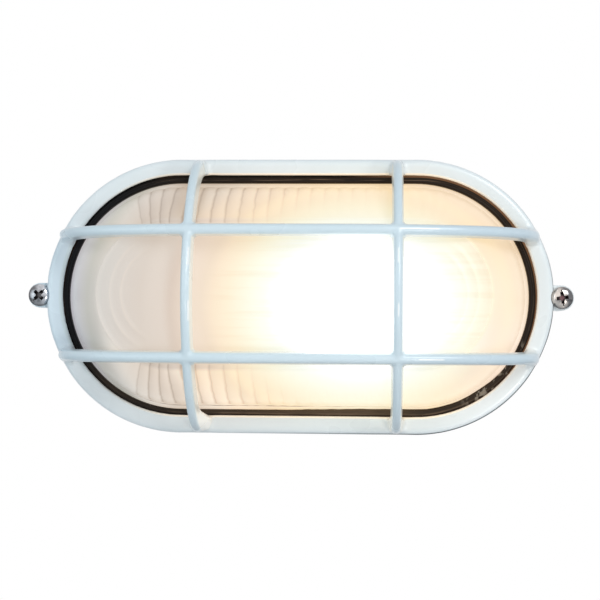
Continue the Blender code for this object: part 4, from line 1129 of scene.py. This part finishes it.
# Housing
housingSizes = {
    "profile": (
        (0, 0),
        (51.4, 0, 1.5),
        (53.6, 32.4, 2.0),
        (56.4, 35.2, 0.6),
        (56.4, 39.8, 0.3),
        (53.4, 39.8, 0.2),
        (53.4, 37.2),
        (47.8, 37.2, 0.2),
        (47.8, 34.2),
        (50.6, 31.2),
        (48.4, 3.0, 2.2),
        (0, 3.0),
    ),
    "floor": 2.2,
    "ear": (21.8, 27.0, 34.2, 39.8),  # where it starts, is full, clears the cavity and ends
    "earInner": (51.9, 54.6),  # where it begins inside the wall, below and beside the cavity
    "earStart": 0.72,
    "pads": (6.5, 4.4, ((-60, -32), (-60, 32), (60, -32), (60, 32))),  # radius, top, places
    "bosses": (4.2, 6.0, ((-85, -7.5), (-85, 7.5), (68, 0))),
    "earthBoss": (5.0, 6.0, ((30, -36),)),
    "fixing": 2.6,
    "thread": 1.8,
    "earThread": 2.25,
    "entry": (-30, 0),
    "entryRadii": (13.0, 10.0),
    "entryRecess": 1.6,
}


def standing(places, radius, bottom, top):
    return turnedAt(places, [(0, bottom), (radius, bottom), (radius, top), (0, top)])


def housingEar(side):
    sizes = housingSizes
    start, full, clears, _ = sizes["ear"]
    slimmer, inner = sizes["earStart"], side * (oval["halfStraight"] + sizes["earInner"][0])
    ear = raiseOutline(earOutline(sizes["earInner"][0], side), start, clears)
    low = [corner for corner in ear.verts if corner.co.z < full]
    bmesh.ops.bisect_plane(
        ear, geom=ear.verts[:] + ear.edges[:] + ear.faces[:], plane_co=(0, 0, full), plane_no=(0, 0, 1)
    )
    for corner in low:
        corner.co.x = inner + (corner.co.x - inner) * slimmer
        corner.co.y *= slimmer
    return tidyShape(ear)


def makeHousing():
    sizes = housingSizes
    shape = sweepOval(filletPath(sizes["profile"]), False, 24, ((math.pi, 96),))
    housing = rawObject("housingCasting", shape)
    for side in (-1, 1):
        combine(housing, housingEar(side), "UNION")
        outline = earOutline(sizes["earInner"][1], side)
        upper = raiseOutline(outline, sizes["ear"][2] - 1.0, sizes["ear"][3])
        combine(housing, upper, "UNION")
    for radius, top, places in (sizes["pads"], sizes["bosses"], sizes["earthBoss"]):
        combine(housing, standing(places, radius, sizes["floor"], top), "UNION")
    holes = standing(sizes["pads"][2], sizes["fixing"], -1.0, sizes["pads"][1] + 1.0)
    mergeShape(holes, standing(sizes["bosses"][2] + sizes["earthBoss"][2], sizes["thread"], 1.5, 12.0))
    ends = ((-guardSizes["screwX"], 0), (guardSizes["screwX"], 0))
    mergeShape(holes, standing(ends, sizes["earThread"], 26.1, 42.8))
    outer, through = sizes["entryRadii"]
    mergeShape(holes, standing((sizes["entry"],), through, sizes["entryRecess"] - 0.5, 6.0))
    combine(housing, holes, "DIFFERENCE")
    combine(housing, standing((sizes["entry"],), outer, -1.0, sizes["entryRecess"]), "DIFFERENCE")
    return finishPiece(housing, enamel, "white_enamel", "base_housing", sharp=32)


housing = makeHousing()
print("housing made,", len(housing.data.polygons), "faces")


# Hidden CAD pieces get their finishes
zincPlate = makeMetal("zincPlate", (0.58, 0.60, 0.60), 0.36, 400.0)
brass = makeMetal("brass", (0.78, 0.57, 0.28), 0.28, 500.0, 0.7)
bronze = makeMetal("springBronze", (0.70, 0.45, 0.26), 0.33, 500.0, 0.7)
nickel = makeMetal("nickelPlate", (0.66, 0.63, 0.58), 0.26, 500.0)
porcelain = makePlain("whitePorcelain", (0.86, 0.85, 0.81), (0.80, 0.785, 0.74), 0.16, 90.0, 0.4)
opalGlass = makePlain("opalLampGlass", (0.96, 0.95, 0.91), (0.92, 0.91, 0.87), 0.28, 60.0)
capGlass = makePlain("blackCapGlass", (0.03, 0.02, 0.04), (0.05, 0.03, 0.06), 0.12, 150.0)
brownSleeve = makePlain("brownSleeve", (0.16, 0.07, 0.03), (0.12, 0.05, 0.02), 0.42, 300.0)
blueSleeve = makePlain("blueSleeve", (0.03, 0.12, 0.42), (0.02, 0.09, 0.34), 0.42, 300.0)

cadFinishes = {
    "cable_grommet": rubber,
    "lampholder_body": porcelain,
    "terminal_block": porcelain,
    "lamp_bulb": opalGlass,
    "lamp_cap_insulator": capGlass,
    "lamp_cap": nickel,
    "lamp_cap_contact": nickel,
    "lampholder_contact": bronze,
    "lead_live": brownSleeve,
    "lead_neutral": blueSleeve,
}


brassNames = ("lampholder_shell", "lampholder_terminal", "terminal_barrel", "terminal_screw", "earth")


def finishOf(name):
    if name in cadFinishes:
        return cadFinishes[name]
    return brass if name.startswith(brassNames) else zincPlate


for name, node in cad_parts.items():
    if node.hide_render:
        continue
    node.data.materials.clear()
    node.data.materials.append(finishOf(name))
print("CAD pieces finished")


# Stage, light and camera
stageSizes = {
    "floorDrop": 0.200,  # metres, as everything on the stage
    "floorBack": 0.30,
    "floorReach": 1.6,
    "floorColor": (0.82, 0.82, 0.82),
    "skyColor": (0.80, 0.86, 0.92, 1.0),
    "skyStrength": 0.45,
    "lampAim": (0, -0.04, 0),
    # name, place, size, power and colour
    "lamps": (
        ("keyRight", (0.46, -0.84, 0.46), 0.40, 3.75, (0.97, 1.0, 0.99)),
        ("lowFront", (0.26, -0.66, -0.155), 0.08, 0.50, (1.0, 0.975, 0.93)),
        ("fillLeft", (-0.8, -0.7, 0.05), 0.8, 2.3, (0.80, 0.94, 1.0)),
    ),
}


def makeStage():
    sizes = stageSizes
    bm = bmesh.new()
    bmesh.ops.create_grid(bm, x_segments=1, y_segments=1, size=sizes["floorReach"])
    place = (0, sizes["floorBack"] - sizes["floorReach"], -sizes["floorDrop"])
    bmesh.ops.translate(bm, verts=bm.verts, vec=place)
    floor = rawObject("floor", bm)
    material, recipe = newMaterial("paleFloor", sizes["floorColor"], 0.8)
    recipe.surface(sizes["floorColor"], 0.85)
    floor.data.materials.append(material)


def makeWorld():
    # the object is lit by a soft sky, and the camera, metal and glass see white
    sizes = stageSizes
    world = bpy.data.worlds.new("studio")
    bpy.context.scene.world = world
    recipe = Recipe(world)
    names = ("Is Camera Ray", "Is Glossy Ray", "Is Transmission Ray")
    rays = [recipe.add("ShaderNodeLightPath", output=name) for name in names]
    seen = (rays[0] + rays[1] + rays[2]).atMost(1.0)
    backdrops = {"Color": sizes["skyColor"], "Strength": sizes["skyStrength"]}
    sky = recipe.add("ShaderNodeBackground", inputs=backdrops)
    white = recipe.add("ShaderNodeBackground", inputs={"Color": (1.0, 1.0, 1.0, 1.0), "Strength": 1.0})
    mixed = recipe.add("ShaderNodeMixShader", inputs={0: seen, 1: sky, 2: white})
    recipe.add("ShaderNodeOutputWorld", inputs={"Surface": mixed})


def addLamp(name, place, size, power, color):
    lamp = bpy.data.lights.new(name, "AREA")
    lamp.size = size
    lamp.energy = power
    lamp.color = color
    holder = newObject(name, lamp)
    holder.location = place
    towards = Vector(stageSizes["lampAim"]) - Vector(place)
    holder.rotation_euler = towards.to_track_quat("-Z", "Y").to_euler()


cameraSizes = {
    "place": (0.03211, -0.62813, -0.01440),
    "yaw": 0.05379,
    "pitch": 0.02221,
    "roll": 0.00675,
    "lens": 84.904,
}


def makeCamera():
    sizes = cameraSizes
    lens = bpy.data.cameras.new("camera")
    lens.sensor_width = 36.0
    lens.lens = sizes["lens"]
    lens.clip_start = 0.01
    camera = newObject("camera", lens)
    turned = Matrix.Rotation(sizes["yaw"], 4, "Z") @ Matrix.Rotation(math.pi / 2 + sizes["pitch"], 4, "X")
    turned = turned @ Matrix.Rotation(sizes["roll"], 4, "Z")
    camera.matrix_world = Matrix.Translation(sizes["place"]) @ turned
    bpy.context.scene.camera = camera


makeStage()
makeWorld()
for lamp in stageSizes["lamps"]:
    addLamp(*lamp)
makeCamera()
bpy.context.scene.view_settings.view_transform = "Standard"
print("stage, light and camera made")

bpy.context.view_layer.update()
